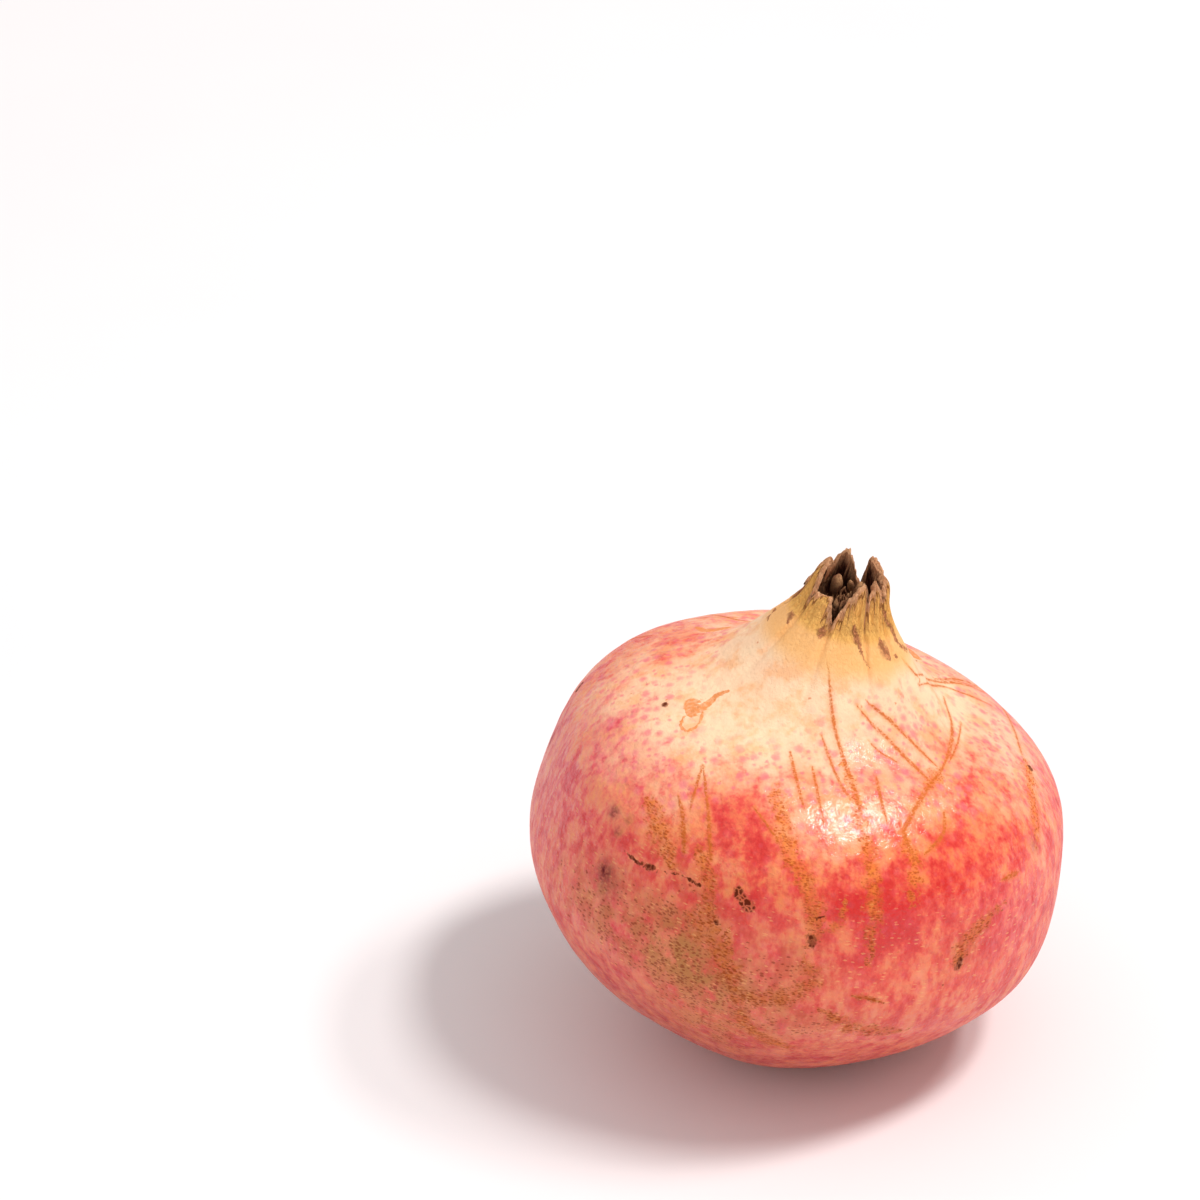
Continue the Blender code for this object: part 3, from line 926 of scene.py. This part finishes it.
def line_group():
    """The mask of a marking from the vector to it, a coarse distance, its width, and how ragged it is."""
    inputs = (
        ("Gap", "NodeSocketVector", None),
        ("Distance", "NodeSocketFloat", 9.0),
        ("Width", "NodeSocketFloat", 0.5),
        ("Ragged", "NodeSocketFloat", 0.5),
        ("Reach", "NodeSocketFloat", 0.4),
        ("Slack", "NodeSocketFloat", 0.5),
        ("Softness", "NodeSocketFloat", 0.5),
    )
    tree, w, given, result = new_group("marking", inputs, (("Mask", "NodeSocketFloat"),))
    length = w.vector("LENGTH", given["Gap"], output="Value")
    true = w.math("MAXIMUM", length, w.math("SUBTRACT", given["Distance"], given["Slack"]))
    wander = w.math("MULTIPLY", w.math("SUBTRACT", given["Ragged"], 0.5), given["Reach"])
    apart = w.math("DIVIDE", w.math("ADD", true, wander), w.math("MAXIMUM", given["Width"], 0.05))
    inner = w.math("SUBTRACT", 0.5, w.math("MULTIPLY", given["Softness"], 0.25))
    outer = w.math("ADD", 0.5, w.math("MULTIPLY", given["Softness"], 0.5))
    w.feed(result["Mask"], w.between(apart, inner, outer, 1.0, 0.0))
    return tree


def mottle_group():
    """A soft uneven mask between two levels of a fractal noise."""
    inputs = (
        ("Place", "NodeSocketVector", None),
        ("Scale", "NodeSocketFloat", 1.0),
        ("Low", "NodeSocketFloat", 0.4),
        ("High", "NodeSocketFloat", 0.6),
    )
    tree, w, given, result = new_group("mottle", inputs, (("Mask", "NodeSocketFloat"),))
    cloud = w.noise(given["Place"], given["Scale"], 4.0, 0.62)
    w.feed(result["Mask"], w.between(cloud, given["Low"], given["High"]))
    return tree


def grain_group():
    """Fine fibres that run along the fruit's axis, for the neck, the sepals and the stamens."""
    inputs = (
        ("Along", "NodeSocketVector", None),
        ("Scale", "NodeSocketFloat", 1.0),
    )
    tree, w, given, result = new_group("grain", inputs, (("Mask", "NodeSocketFloat"),))
    fibre = w.noise(w.scaled(given["Along"], given["Scale"]), 1.0, 3.0, 0.6, 0.4)
    w.feed(result["Mask"], w.between(fibre, 0.3, 0.7))
    return tree


def marking(w, groups, name, wander, ragged, reach, softness=0.5, widen=1.0):
    """The mask of one kind of marking that the mesh keeps, moved a little by a wandering vector."""
    node = w.place(
        groups["marking"],
        gap=w.vector("ADD", w.kept(name + "_gap", "Vector"), wander),
        distance=w.kept(name + "_distance"),
        width=w.math("MULTIPLY", w.kept(name + "_width"), widen),
        ragged=ragged,
        reach=reach,
        softness=softness,
    )
    return node.outputs["Mask"]


def rind_material(groups):
    """Waxy rind: red streaks over cream, tan dust partly painted as shade, russet bands, scratches and scabs, painted
    glints, and a dried crown with painted shade inside.
    """
    material = bpy.data.materials.new("rind")
    material.use_nodes = True
    tree = material.node_tree
    shader = tree.nodes["Principled BSDF"]
    w = Wiring(tree)
    place = w.scaled(w.node("ShaderNodeTexCoord").outputs["Object"], 1 / MM)
    streak = w.kept("streak", "Vector")
    neck, sepal, side, edge = (w.kept(name) for name in ("neck", "sepal", "side", "edge"))

    # Ground: cream on the shoulder, peach and orange round the body, brick towards the base
    blush = w.kept("blush")
    split = w.node("ShaderNodeSeparateXYZ")
    w.feed(split.inputs[0], streak)
    latitude = split.outputs["Z"]
    clouds = w.noise(place, 0.12, 3.0, 0.55, 0.3)
    warmth = w.math("MULTIPLY_ADD", w.math("SUBTRACT", clouds, 0.5), 0.6, blush)
    ground = w.ramp(
        warmth,
        (
            (0.0, linear(255, 218, 180)),
            (1.0, linear(224, 90, 52)),
            (0.22, linear(254, 205, 168)),
            (0.40, linear(252, 180, 142)),
            (0.58, linear(246, 146, 92)),
            (0.78, linear(238, 118, 66)),
        ),
    )
    base_share = w.between(latitude, 0.05, -0.6)
    ground = w.mix(w.math("MULTIPLY", base_share, 0.8), ground, linear(202, 108, 78))
    warm = w.place(groups["mottle"], place=place, scale=0.2, low=0.46, high=0.66).outputs["Mask"]
    ground = w.mix(w.math("MULTIPLY", warm, 0.4), ground, linear(244, 150, 62))
    low_half = w.between(latitude, 0.5, 0.05, 0.0, 0.5)
    ground = w.mix(low_half, ground, linear(240, 124, 100))

    # Red: soft blotches, flecks and streaks that crowd where the blush is strong
    tall = w.vector("MULTIPLY", place, (1.0, 1.0, 0.7))
    blotches = w.noise(tall, 0.3, 2.0, 0.5, 0.2)
    flecks = w.noise(tall, 0.75, 2.0, 0.5, 0.2)
    grains = w.noise(tall, 2.1, 2.0, 0.6)
    streaks = w.noise(w.vector("MULTIPLY", streak, (22.0, 22.0, 6.0)), 1.0, 3.0, 0.6, 0.3)
    low_body = w.between(latitude, 0.25, 0.75, 0.5, 0.0)
    red = w.math("MULTIPLY_ADD", w.math("SUBTRACT", blotches, 0.5), 1.1, w.math("MULTIPLY", blush, 1.1))
    red = w.math("MULTIPLY_ADD", w.math("SUBTRACT", flecks, 0.5), 0.7, red)
    red = w.math("MULTIPLY_ADD", w.math("SUBTRACT", grains, 0.5), 0.35, red)
    red = w.math("MULTIPLY_ADD", w.math("SUBTRACT", clouds, 0.5), 0.4, red)
    red = w.math("MULTIPLY_ADD", w.math("SUBTRACT", streaks, 0.5), low_body, red)
    orange_red = w.ramp(
        red,
        (
            (0.3, linear(248, 142, 96)),
            (1.0, linear(214, 28, 36)),
            (0.52, linear(242, 108, 78)),
            (0.74, linear(232, 68, 60)),
        ),
    )
    pink_red = w.ramp(
        red,
        (
            (0.3, linear(250, 158, 148)),
            (1.0, linear(212, 26, 54)),
            (0.52, linear(242, 116, 122)),
            (0.74, linear(232, 74, 92)),
        ),
    )
    low_red = w.ramp(
        red,
        (
            (0.3, linear(200, 108, 92)),
            (1.0, linear(176, 34, 48)),
            (0.52, linear(194, 86, 80)),
            (0.74, linear(188, 62, 68)),
        ),
    )
    high_red = w.mix(w.math("MULTIPLY", w.kept("pink"), 0.95, clamp=True), orange_red, pink_red)
    colour = w.mix(w.between(red, 0.16, 0.9, 0.0, 0.92), ground, w.mix(base_share, high_red, low_red))

    # Pink freckles where the blush thins out, small brown specks all over
    freckles = w.place(groups["speckle"], place=place, scale=0.5, size=0.17, share=0.5, softness=0.46)
    small_freckles = w.place(groups["speckle"], place=place, scale=0.85, size=0.12, share=0.36, softness=0.42)
    both = w.math("MAXIMUM", freckles.outputs["Mask"], small_freckles.outputs["Mask"])
    thin = w.math("MULTIPLY", w.between(blush, 0.02, 0.24), w.between(blush, 0.4, 0.6, 0.66, 0.15))
    colour = w.mix(w.math("MULTIPLY", both, thin), colour, linear(240, 110, 126))
    specks = w.place(groups["speckle"], place=place, scale=0.33, size=0.045, share=0.35, softness=0.05)
    colour = w.mix(w.math("MULTIPLY", specks.outputs["Mask"], 0.55), colour, linear(206, 92, 24))

    # Tan dust, partly painted shade that darkens the lower body: a thin wash, and brown dashes that crowd where it is
    # strong
    across = w.vector("MULTIPLY", streak, (54.0, 54.0, 140.0))
    pores = w.place(groups["speckle"], place=place, scale=1.9, size=0.32, share=0.7, softness=0.24)
    dashes = w.place(groups["speckle"], place=across, scale=1.0, size=0.32, share=0.86, softness=0.28)
    dots = w.math("MAXIMUM", w.math("MULTIPLY", pores.outputs["Mask"], 0.45), dashes.outputs["Mask"])
    cover = w.place(groups["mottle"], place=place, scale=0.26, low=0.3, high=0.64).outputs["Mask"]
    dust_and_shade = w.math("MULTIPLY", w.kept("tan_and_shade"), cover)
    colour = w.mix(w.math("MULTIPLY", dust_and_shade, 0.85, clamp=True), colour, linear(192, 124, 72))
    crowd = w.between(dust_and_shade, 0.1, 0.9, 0.0, 0.95)
    speckled = w.vector("ADD", w.vector("MULTIPLY", streak, (40.0, 40.0, 96.0)), w.scaled(place, 0.4))
    small_pores = w.place(groups["speckle"], place=speckled, scale=1.0, size=0.3, share=crowd, softness=0.28)
    dusty = w.math("MULTIPLY", small_pores.outputs["Mask"], 0.64)
    colour = w.mix(dusty, colour, linear(136, 42, 6))

    # Russet: scratches and bands as a translucent orange wash full of small brown dashes
    bends = w.vector("SUBTRACT", w.noise(place, 0.28, 2.0, 0.5, output="Color"), (0.5, 0.5, 0.5))
    shivers = w.vector("SUBTRACT", w.noise(place, 1.4, 2.0, 0.6, output="Color"), (0.5, 0.5, 0.5))
    drift = w.vector("ADD", w.scaled(bends, 1.4), w.scaled(shivers, 1.2))
    ragged = w.noise(place, 0.6, 4.0, 0.65)
    worn = w.noise(place, 1.5, 3.0, 0.6)
    patchy = w.noise(place, 0.5, 3.0, 0.6)
    low_side = w.between(latitude, 0.6, 0.2)
    frayed_way = w.math("MULTIPLY_ADD", w.math("SUBTRACT", worn, 0.5), 0.6, ragged)
    band = marking(w, groups, "band", drift, frayed_way, 4.6, 1.8, 1.15)
    tremble = w.scaled(shivers, 0.5)
    beside = w.math(
        "MAXIMUM",
        marking(w, groups, "scratch", tremble, ragged, 1.6, 1.6, 2.4),
        marking(w, groups, "branch", tremble, ragged, 1.6, 1.6, 2.4),
    )
    halo = w.math("MULTIPLY", beside, w.math("MULTIPLY_ADD", low_side, 0.5, 0.34))
    russet = w.math("MAXIMUM", w.math("MULTIPLY", band, w.between(patchy, 0.3, 0.58, 0.5, 1.0)), halo)
    wash = w.math("MULTIPLY", russet, w.between(worn, 0.32, 0.62, 0.48, 0.9))
    wash_colour = w.mix(low_side, linear(244, 136, 56), linear(206, 112, 50))
    colour = w.mix(wash, colour, wash_colour)
    dotted = w.math("MULTIPLY", dots, w.between(russet, 0.1, 0.7))
    dot_colour = w.mix(low_side, linear(194, 82, 24), linear(146, 54, 12))
    colour = w.mix(w.math("MULTIPLY", dotted, 0.7), colour, dot_colour)

    patch = marking(w, groups, "patch", w.scaled(shivers, 0.6), ragged, 0.8, 0.25)
    patch = w.math("MULTIPLY", patch, w.between(worn, 0.3, 0.6, 0.55, 0.95))
    colour = w.mix(patch, colour, linear(232, 142, 82))
    quiver = w.scaled(shivers, 0.35)
    scratch = w.math(
        "MAXIMUM",
        marking(w, groups, "scratch", quiver, worn, 0.6, 0.8, 1.2),
        marking(w, groups, "branch", quiver, worn, 0.6, 0.8, 1.2),
    )
    breaks = w.between(w.math("MULTIPLY_ADD", dots, 0.3, worn), 0.38, 0.64, 0.3, 1.0)
    scratch = w.math("MULTIPLY", scratch, breaks)
    scratch_colour = w.mix(low_side, linear(210, 108, 44), linear(180, 80, 26))
    colour = w.mix(w.math("MULTIPLY", scratch, 0.9), colour, scratch_colour)

    # Painted glints: pale ticks lie across the body where it is red or russet
    ticks = w.vector("MULTIPLY", streak, (30.0, 30.0, 90.0))
    glint_tick = w.place(groups["speckle"], place=ticks, scale=1.0, size=0.2, share=0.4, softness=0.14)
    pale = w.math("MULTIPLY", glint_tick.outputs["Mask"], w.math("MULTIPLY", low_side, 0.45))
    colour = w.mix(pale, colour, linear(252, 178, 112))

    # Scabs: dark crusts parted by cracks, and red-brown bruises
    scab_place = marking(w, groups, "scab", w.scaled(shivers, 0.9), ragged, 1.3, 0.5)
    crack = w.cells(w.vector("ADD", place, w.scaled(shivers, 0.7)), 0.95, feature="DISTANCE_TO_EDGE")
    wide = w.between(w.kept("scab_width"), 0.9, 1.7, 0.35, 1.0)
    parted = w.between(crack.outputs["Distance"], 0.02, 0.2, 1.0, 0.0)
    crust = w.math("SUBTRACT", 1.0, w.math("MULTIPLY", parted, wide))
    scab = w.math("MULTIPLY", scab_place, crust)
    colour = w.mix(w.math("MULTIPLY", scab_place, 0.55), colour, linear(188, 104, 50))
    colour = w.mix(w.math("MULTIPLY", scab, 0.92), colour, linear(86, 22, 4))
    bruise = w.math("MULTIPLY", w.kept("bruise"), w.between(worn, 0.3, 0.6, 0.5, 1.0), clamp=True)
    colour = w.mix(bruise, colour, linear(104, 26, 34))

    # Neck and crown: ochre skin, drying to brown along margins, browner in the furrows, with painted shade under the
    # rolled margins and a dark lining with painted shade inside
    fibres = w.vector("MULTIPLY", place, (2.3, 2.3, 0.5))
    grain = w.place(groups["grain"], along=fibres, scale=1.0).outputs["Mask"]
    wear = w.place(groups["mottle"], place=place, scale=0.55, low=0.32, high=0.68).outputs["Mask"]
    ochre = w.mix(w.math("MULTIPLY", grain, 0.4), linear(252, 190, 120), linear(240, 168, 92))
    colour = w.mix(w.between(neck, 0.74, 0.97, 0.0, 0.9), colour, ochre)
    olive = w.mix(w.math("MULTIPLY", grain, 0.55), linear(248, 190, 104), linear(222, 154, 78))
    colour = w.mix(w.between(w.math("ADD", neck, sepal), 0.96, 1.5, 0.0, 0.9), colour, olive)
    stain = w.math("MULTIPLY", w.between(edge, 0.8, 3.2, 0.5, 0.0), w.math("MULTIPLY", wear, sepal))
    colour = w.mix(stain, colour, linear(204, 138, 88))
    frayed = w.math("SUBTRACT", edge, w.math("MULTIPLY", wear, 0.5))
    dry_edge = w.math("MULTIPLY", w.between(frayed, 0.2, 0.62, 1.0, 0.0), sepal)
    tan_bark = w.mix(grain, linear(252, 196, 148), linear(208, 144, 102))
    colour = w.mix(dry_edge, colour, w.mix(w.math("MULTIPLY", wear, 0.4), tan_bark, linear(176, 114, 80)))
    # Painted shade: a dark brown line just inside the tan margin, where the rolled margin shades the sepal
    under = w.math("MULTIPLY", w.between(frayed, 0.45, 0.65), w.between(frayed, 0.8, 1.2, 1.0, 0.0))
    colour = w.mix(w.math("MULTIPLY", under, w.math("MULTIPLY", sepal, 0.75)), colour, linear(114, 52, 32))
    low_furrow = w.math("MULTIPLY", w.between(w.kept("furrow"), 0.7, 1.0), sepal)
    colour = w.mix(w.math("MULTIPLY", low_furrow, 0.5), colour, linear(150, 94, 60))
    bark = marking(w, groups, "bark", w.scaled(shivers, 1.1), ragged, 2.0, 1.1)
    purple = w.mix(w.between(worn, 0.38, 0.66), linear(112, 50, 40), linear(206, 136, 92))
    colour = w.mix(w.math("MULTIPLY", bark, w.between(worn, 0.3, 0.55, 0.6, 0.95)), colour, purple)

    # Stalk end: woody brown on the stub, with an uneven border
    scar_border = w.math("MULTIPLY_ADD", w.math("SUBTRACT", worn, 0.5), 0.9, w.kept("stalk"))
    stalk = w.between(scar_border, 0.35, 0.6)
    colour = w.mix(w.math("MULTIPLY", stalk, 0.92), colour, w.mix(wear, linear(172, 118, 74), linear(92, 54, 32)))

    # Inside the crown: the rim's tan turns within a few millimetres into a brown lining that darkens with painted
    # shade down into the hollow and the cup
    deep = w.between(side, 0.5, 1.0)
    rim_colour = w.mix(grain, linear(252, 192, 144), linear(192, 126, 90))
    lining_and_shade = w.mix(grain, linear(104, 56, 40), linear(50, 25, 18))
    inner = w.mix(w.between(edge, 0.2, 2.4), rim_colour, lining_and_shade)
    colour = w.mix(deep, colour, inner)
    w.feed(shader.inputs["Base Color"], colour)

    # Finish: waxy skin, dull where it is cream, russet, scarred or dry
    marked = w.math("MAXIMUM", w.math("MAXIMUM", dotted, patch), w.math("MAXIMUM", scratch, scab))
    marked = w.math("MAXIMUM", w.math("MAXIMUM", marked, dusty), bruise)
    rough_skin = w.math("MAXIMUM", marked, w.math("MAXIMUM", w.math("MULTIPLY", wash, 0.9), bark))
    rough_skin = w.math("MAXIMUM", w.math("MAXIMUM", rough_skin, stalk), w.math("MULTIPLY", dust_and_shade, 0.6))
    dull = w.math("MAXIMUM", rough_skin, w.math("MULTIPLY", w.math("MAXIMUM", sepal, deep), 0.9))
    uneven = w.noise(place, 0.5, 3.0, 0.6)
    waxy = w.between(uneven, 0.3, 0.7, 0.28, 0.4)
    waxy = w.math("ADD", waxy, w.between(blush, 0.2, 0.45, 0.2, 0.0))
    roughness = w.math("ADD", waxy, w.math("MULTIPLY", dull, 0.36))
    w.feed(shader.inputs["Roughness"], roughness)
    shiny = w.between(blush, 0.22, 0.42, 0.0, 0.8)
    edge_on = w.node("ShaderNodeLayerWeight")
    facing = w.between(edge_on.outputs["Facing"], 0.4, 0.9, 1.0, 0.1)
    gloss = w.math("MULTIPLY", w.math("SUBTRACT", 1.0, dull, clamp=True), w.math("MULTIPLY", shiny, facing))
    w.feed(shader.inputs["Coat Weight"], gloss)
    shader.inputs["Coat Roughness"].default_value = 0.12
    shader.inputs["Specular IOR Level"].default_value = 0.08

    # Relief: orange-peel unevenness, pores, raised scars, fibres on the neck and crown
    peel = w.math("MULTIPLY_ADD", w.noise(place, 0.42, 2.0, 0.5), 1.5, w.noise(place, 1.0, 3.0, 0.65))
    peel = w.math("MULTIPLY", peel, w.math("MULTIPLY_ADD", neck, -0.85, 1.0))
    w.feed(shader.inputs["Coat Normal"], w.bump(peel, 0.15 * MM))
    normal = w.bump(peel, 0.28 * MM)
    fibre_height = w.math("MULTIPLY", grain, w.math("MAXIMUM", sepal, w.math("MULTIPLY", neck, 0.25)))
    normal = w.bump(fibre_height, 0.28 * MM, normal=normal)
    scars = w.math("ADD", w.math("MULTIPLY", marked, 0.6), w.math("MULTIPLY", glint_tick.outputs["Mask"], 0.3))
    normal = w.bump(scars, 0.08 * MM, normal=normal)
    w.feed(shader.inputs["Normal"], normal)
    return material


def stamen_material(groups):
    """Dried stamens: brown-grey fibres with paler worn tops."""
    material = bpy.data.materials.new("dried stamens")
    material.use_nodes = True
    tree = material.node_tree
    shader = tree.nodes["Principled BSDF"]
    w = Wiring(tree)
    place = w.scaled(w.node("ShaderNodeTexCoord").outputs["Object"], 1 / MM)
    fibres = w.vector("MULTIPLY", place, (3.2, 3.2, 0.7))
    grain = w.place(groups["grain"], along=fibres, scale=1.0).outputs["Mask"]
    wear = w.place(groups["mottle"], place=place, scale=0.9, low=0.35, high=0.65).outputs["Mask"]
    colour = w.mix(grain, linear(116, 74, 48), linear(56, 32, 24))
    tip = w.kept("tip")
    worn_tip = w.mix(wear, linear(206, 154, 108), linear(146, 94, 68))
    colour = w.mix(w.math("MULTIPLY", tip, 0.85), colour, worn_tip)
    w.feed(shader.inputs["Base Color"], colour)
    w.feed(shader.inputs["Roughness"], w.between(wear, 0.0, 1.0, 0.62, 0.85))
    shader.inputs["Specular IOR Level"].default_value = 0.08
    dots = w.place(groups["speckle"], place=place, scale=3.0, size=0.3, share=0.6, softness=0.2).outputs["Mask"]
    normal = w.bump(grain, 0.12 * MM)
    w.feed(shader.inputs["Normal"], w.bump(dots, 0.08 * MM, normal=normal))
    return material


# Stamens: knobs stand at places in the fruit's own axes
FILAMENT_COUNT = 150
FILAMENT_SIDES = 6
FILAMENT_RINGS = 9
FILAMENT_RADIUS = (0.09 * MM, 0.18 * MM)
FILAMENT_LENGTH = (4.0 * MM, 8.2 * MM)
FILAMENT_ROOT = 0.8 * MM
KNOB_RINGS = 16
KNOB_SIDES = 12


class Knob(NamedTuple):
    """A thick dried strand with a swollen end: the end's place, and the radius of its stalk and its end."""

    place: tuple
    stalk: float
    end: float


KNOBS = (
    Knob((-3.6 * MM, 0.3 * MM, 55.9 * MM), 0.9 * MM, 1.3 * MM),
    Knob((0.5 * MM, 0.4 * MM, 55.4 * MM), 0.7 * MM, 1.05 * MM),
    Knob((-1.6 * MM, 1.9 * MM, 54.4 * MM), 0.5 * MM, 0.75 * MM),
)
STAMEN_SEED = 7


def add_strand(bm, tip_layer, path, radii, tips, sides):
    """One closed strand along a path, with its radius and its tip share at each point."""
    rings = []
    for index, point in enumerate(path):
        before = path[max(index - 1, 0)]
        after = path[min(index + 1, len(path) - 1)]
        facing = (after - before).to_track_quat("Z", "Y")
        ring = []
        for corner in range(sides):
            turn = corner / sides * 2 * math.pi
            spoke = Vector((math.cos(turn), math.sin(turn), 0)) * radii[index]
            vert = bm.verts.new(point + facing @ spoke)
            vert[tip_layer] = tips[index]
            ring.append(vert)
        rings.append(ring)
    for low, high in zip(rings, rings[1:]):
        for corner in range(sides):
            after = (corner + 1) % sides
            bm.faces.new((low[corner], low[after], high[after], high[corner]))
    bm.faces.new(reversed(rings[0]))
    bm.faces.new(rings[-1])


def add_filament(bm, tip_layer, draw, root, tip, radius, knob, reach=0.09, rings=FILAMENT_RINGS, sides=FILAMENT_SIDES):
    """One curved filament with a small swollen end, as many times thicker than its stalk as the knob says."""
    sway = Vector((draw.uniform(-1, 1), draw.uniform(-1, 1), 0)) * (tip - root).length * 0.16
    shares = [step / (rings - 1) for step in range(rings)]
    path = [root.lerp(tip, t) + sway * math.sin(t * math.pi) for t in shares]
    radii = []
    for t in shares:
        swell = (knob - 1) * math.exp(-(((t - 1 + 1.1 * reach) / reach) ** 2))
        end = 0.45 if t == 1 else 1.0
        radii.append(radius * (1 - 0.35 * t + swell) * end)
    add_strand(bm, tip_layer, path, radii, [max(0, (t - 0.7) / 0.3) for t in shares], sides)


def make_stamens(material):
    """The tuft of dried stamens, and the knobs between them, that stand in the crown's cup."""
    draw = random.Random(STAMEN_SEED)
    bm = bmesh.new()
    tip_layer = bm.verts.layers.float.new("tip")
    floor = COLLAR_HEIGHT - CUP_DEPTH - FILAMENT_ROOT
    for number in range(FILAMENT_COUNT):
        turn = number * math.pi * (3 - math.sqrt(5))
        out = CUP_RADIUS * (0.12 + 0.8 * math.sqrt(number / FILAMENT_COUNT))
        height = floor + FILAMENT_ROOT + draw.uniform(*FILAMENT_LENGTH)
        tip_turn = turn + draw.uniform(-0.9, 0.9)
        tip_out = out * draw.uniform(0.2, 0.95)
        root = Vector((out * math.sin(turn) + NECK_BEND, -out * math.cos(turn), floor))
        tip = Vector((tip_out * math.sin(tip_turn) + NECK_BEND, -tip_out * math.cos(tip_turn), height))
        add_filament(bm, tip_layer, draw, root, tip, draw.uniform(*FILAMENT_RADIUS), 2.2)
    for knob in KNOBS:
        end = Vector(knob.place)
        root = Vector(((end.x + NECK_BEND) / 2, end.y / 2, floor))
        add_filament(bm, tip_layer, draw, root, end, knob.stalk, knob.end / knob.stalk, 0.15, KNOB_RINGS, KNOB_SIDES)
    for vert in bm.verts:
        vert.co += noise.noise_vector(vert.co * 900) * 0.12 * MM + noise.noise_vector(vert.co * 420) * 0.45 * MM
    mesh = bpy.data.meshes.new("stamens")
    bm.to_mesh(mesh)
    bm.free()
    mesh.transform(leaning())
    turn_faces_out(mesh)
    mesh.shade_smooth()
    mesh.materials.append(material)
    stamens = bpy.data.objects.new("stamens", mesh)
    bpy.context.scene.collection.objects.link(stamens)
    return stamens


# Studio
FLOOR_SIZE = 4.0
KEY_DISTANCE = 2.5
KEYS = ((75.0, 64.5, 0.8, 0.34, 28.0), (93.0, 55.0, 0.6, 0.26, 16.0))

# Even light from all around, brighter from one way than from opposite it
FILL_WAY = (-0.42, -0.3, 0.86)
FILL_LOW = 0.24
FILL_HIGH = 0.73


def floor_material(groups):
    """Plain pale surface with a faint unevenness."""
    material = bpy.data.materials.new("pale floor")
    material.use_nodes = True
    shader = material.node_tree.nodes["Principled BSDF"]
    w = Wiring(material.node_tree)
    place = w.node("ShaderNodeTexCoord").outputs["Object"]
    cloud = w.place(groups["mottle"], place=place, scale=3.0, low=0.2, high=0.8).outputs["Mask"]
    w.feed(shader.inputs["Base Color"], w.mix(cloud, linear(250, 246, 247), linear(246, 241, 243)))
    shader.inputs["Roughness"].default_value = 0.6
    return material


def make_floor(material):
    """The seamless floor."""
    mesh = bpy.data.meshes.new("floor")
    bm = bmesh.new()
    bmesh.ops.create_grid(bm, x_segments=8, y_segments=8, size=FLOOR_SIZE / 2)
    bm.to_mesh(mesh)
    bm.free()
    mesh.materials.append(material)
    floor = bpy.data.objects.new("floor", mesh)
    bpy.context.scene.collection.objects.link(floor)


def make_camera():
    """The camera of the photograph."""
    place, right, up, forward = camera_axes()
    data = bpy.data.cameras.new("camera")
    data.sensor_width = SENSOR_WIDTH
    data.lens = FOCAL_PIXELS / PHOTO_SIZE * SENSOR_WIDTH
    camera = bpy.data.objects.new("camera", data)
    camera.location = place
    camera.rotation_euler = forward.to_track_quat("-Z", "Y").to_euler()
    bpy.context.scene.collection.objects.link(camera)
    bpy.context.scene.camera = camera


def make_lights():
    """Two small soft keys from the upper right, and an even fill from all around."""
    middle = Vector((*REST_OFFSET, REST_HEIGHT))
    for turn, elevation, width, height, power in KEYS:
        data = bpy.data.lights.new("key", "AREA")
        data.shape = "ELLIPSE"
        data.size = width
        data.size_y = height
        data.energy = power
        data.color = (1.0, 0.985, 0.96)
        light = bpy.data.objects.new("key", data)
        way = Vector(direction(turn, elevation))
        light.location = middle + way * KEY_DISTANCE
        light.rotation_euler = way.to_track_quat("Z", "Y").to_euler()
        bpy.context.scene.collection.objects.link(light)
    world = bpy.data.worlds.new("studio")
    world.use_nodes = True
    background = world.node_tree.nodes["Background"]
    background.inputs["Color"].default_value = (1.0, 0.99, 0.985, 1)
    w = Wiring(world.node_tree)
    ray = w.node("ShaderNodeTexCoord").outputs["Generated"]
    facing = w.vector("DOT_PRODUCT", ray, FILL_WAY, output="Value")
    w.feed(background.inputs["Strength"], w.between(facing, -0.6, 1.0, FILL_LOW, FILL_HIGH))
    bpy.context.scene.world = world


def main():
    make_camera()
    make_lights()
    groups = {
        "speckle": speckle_group(),
        "marking": line_group(),
        "mottle": mottle_group(),
        "grain": grain_group(),
    }
    make_floor(floor_material(groups))
    rind = make_rind(rind_material(groups))
    stamens = make_stamens(stamen_material(groups))
    for piece in (rind, stamens):
        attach(piece, "root")
        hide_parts("pomegranate")
    bpy.context.scene.view_settings.view_transform = "Standard"


main()
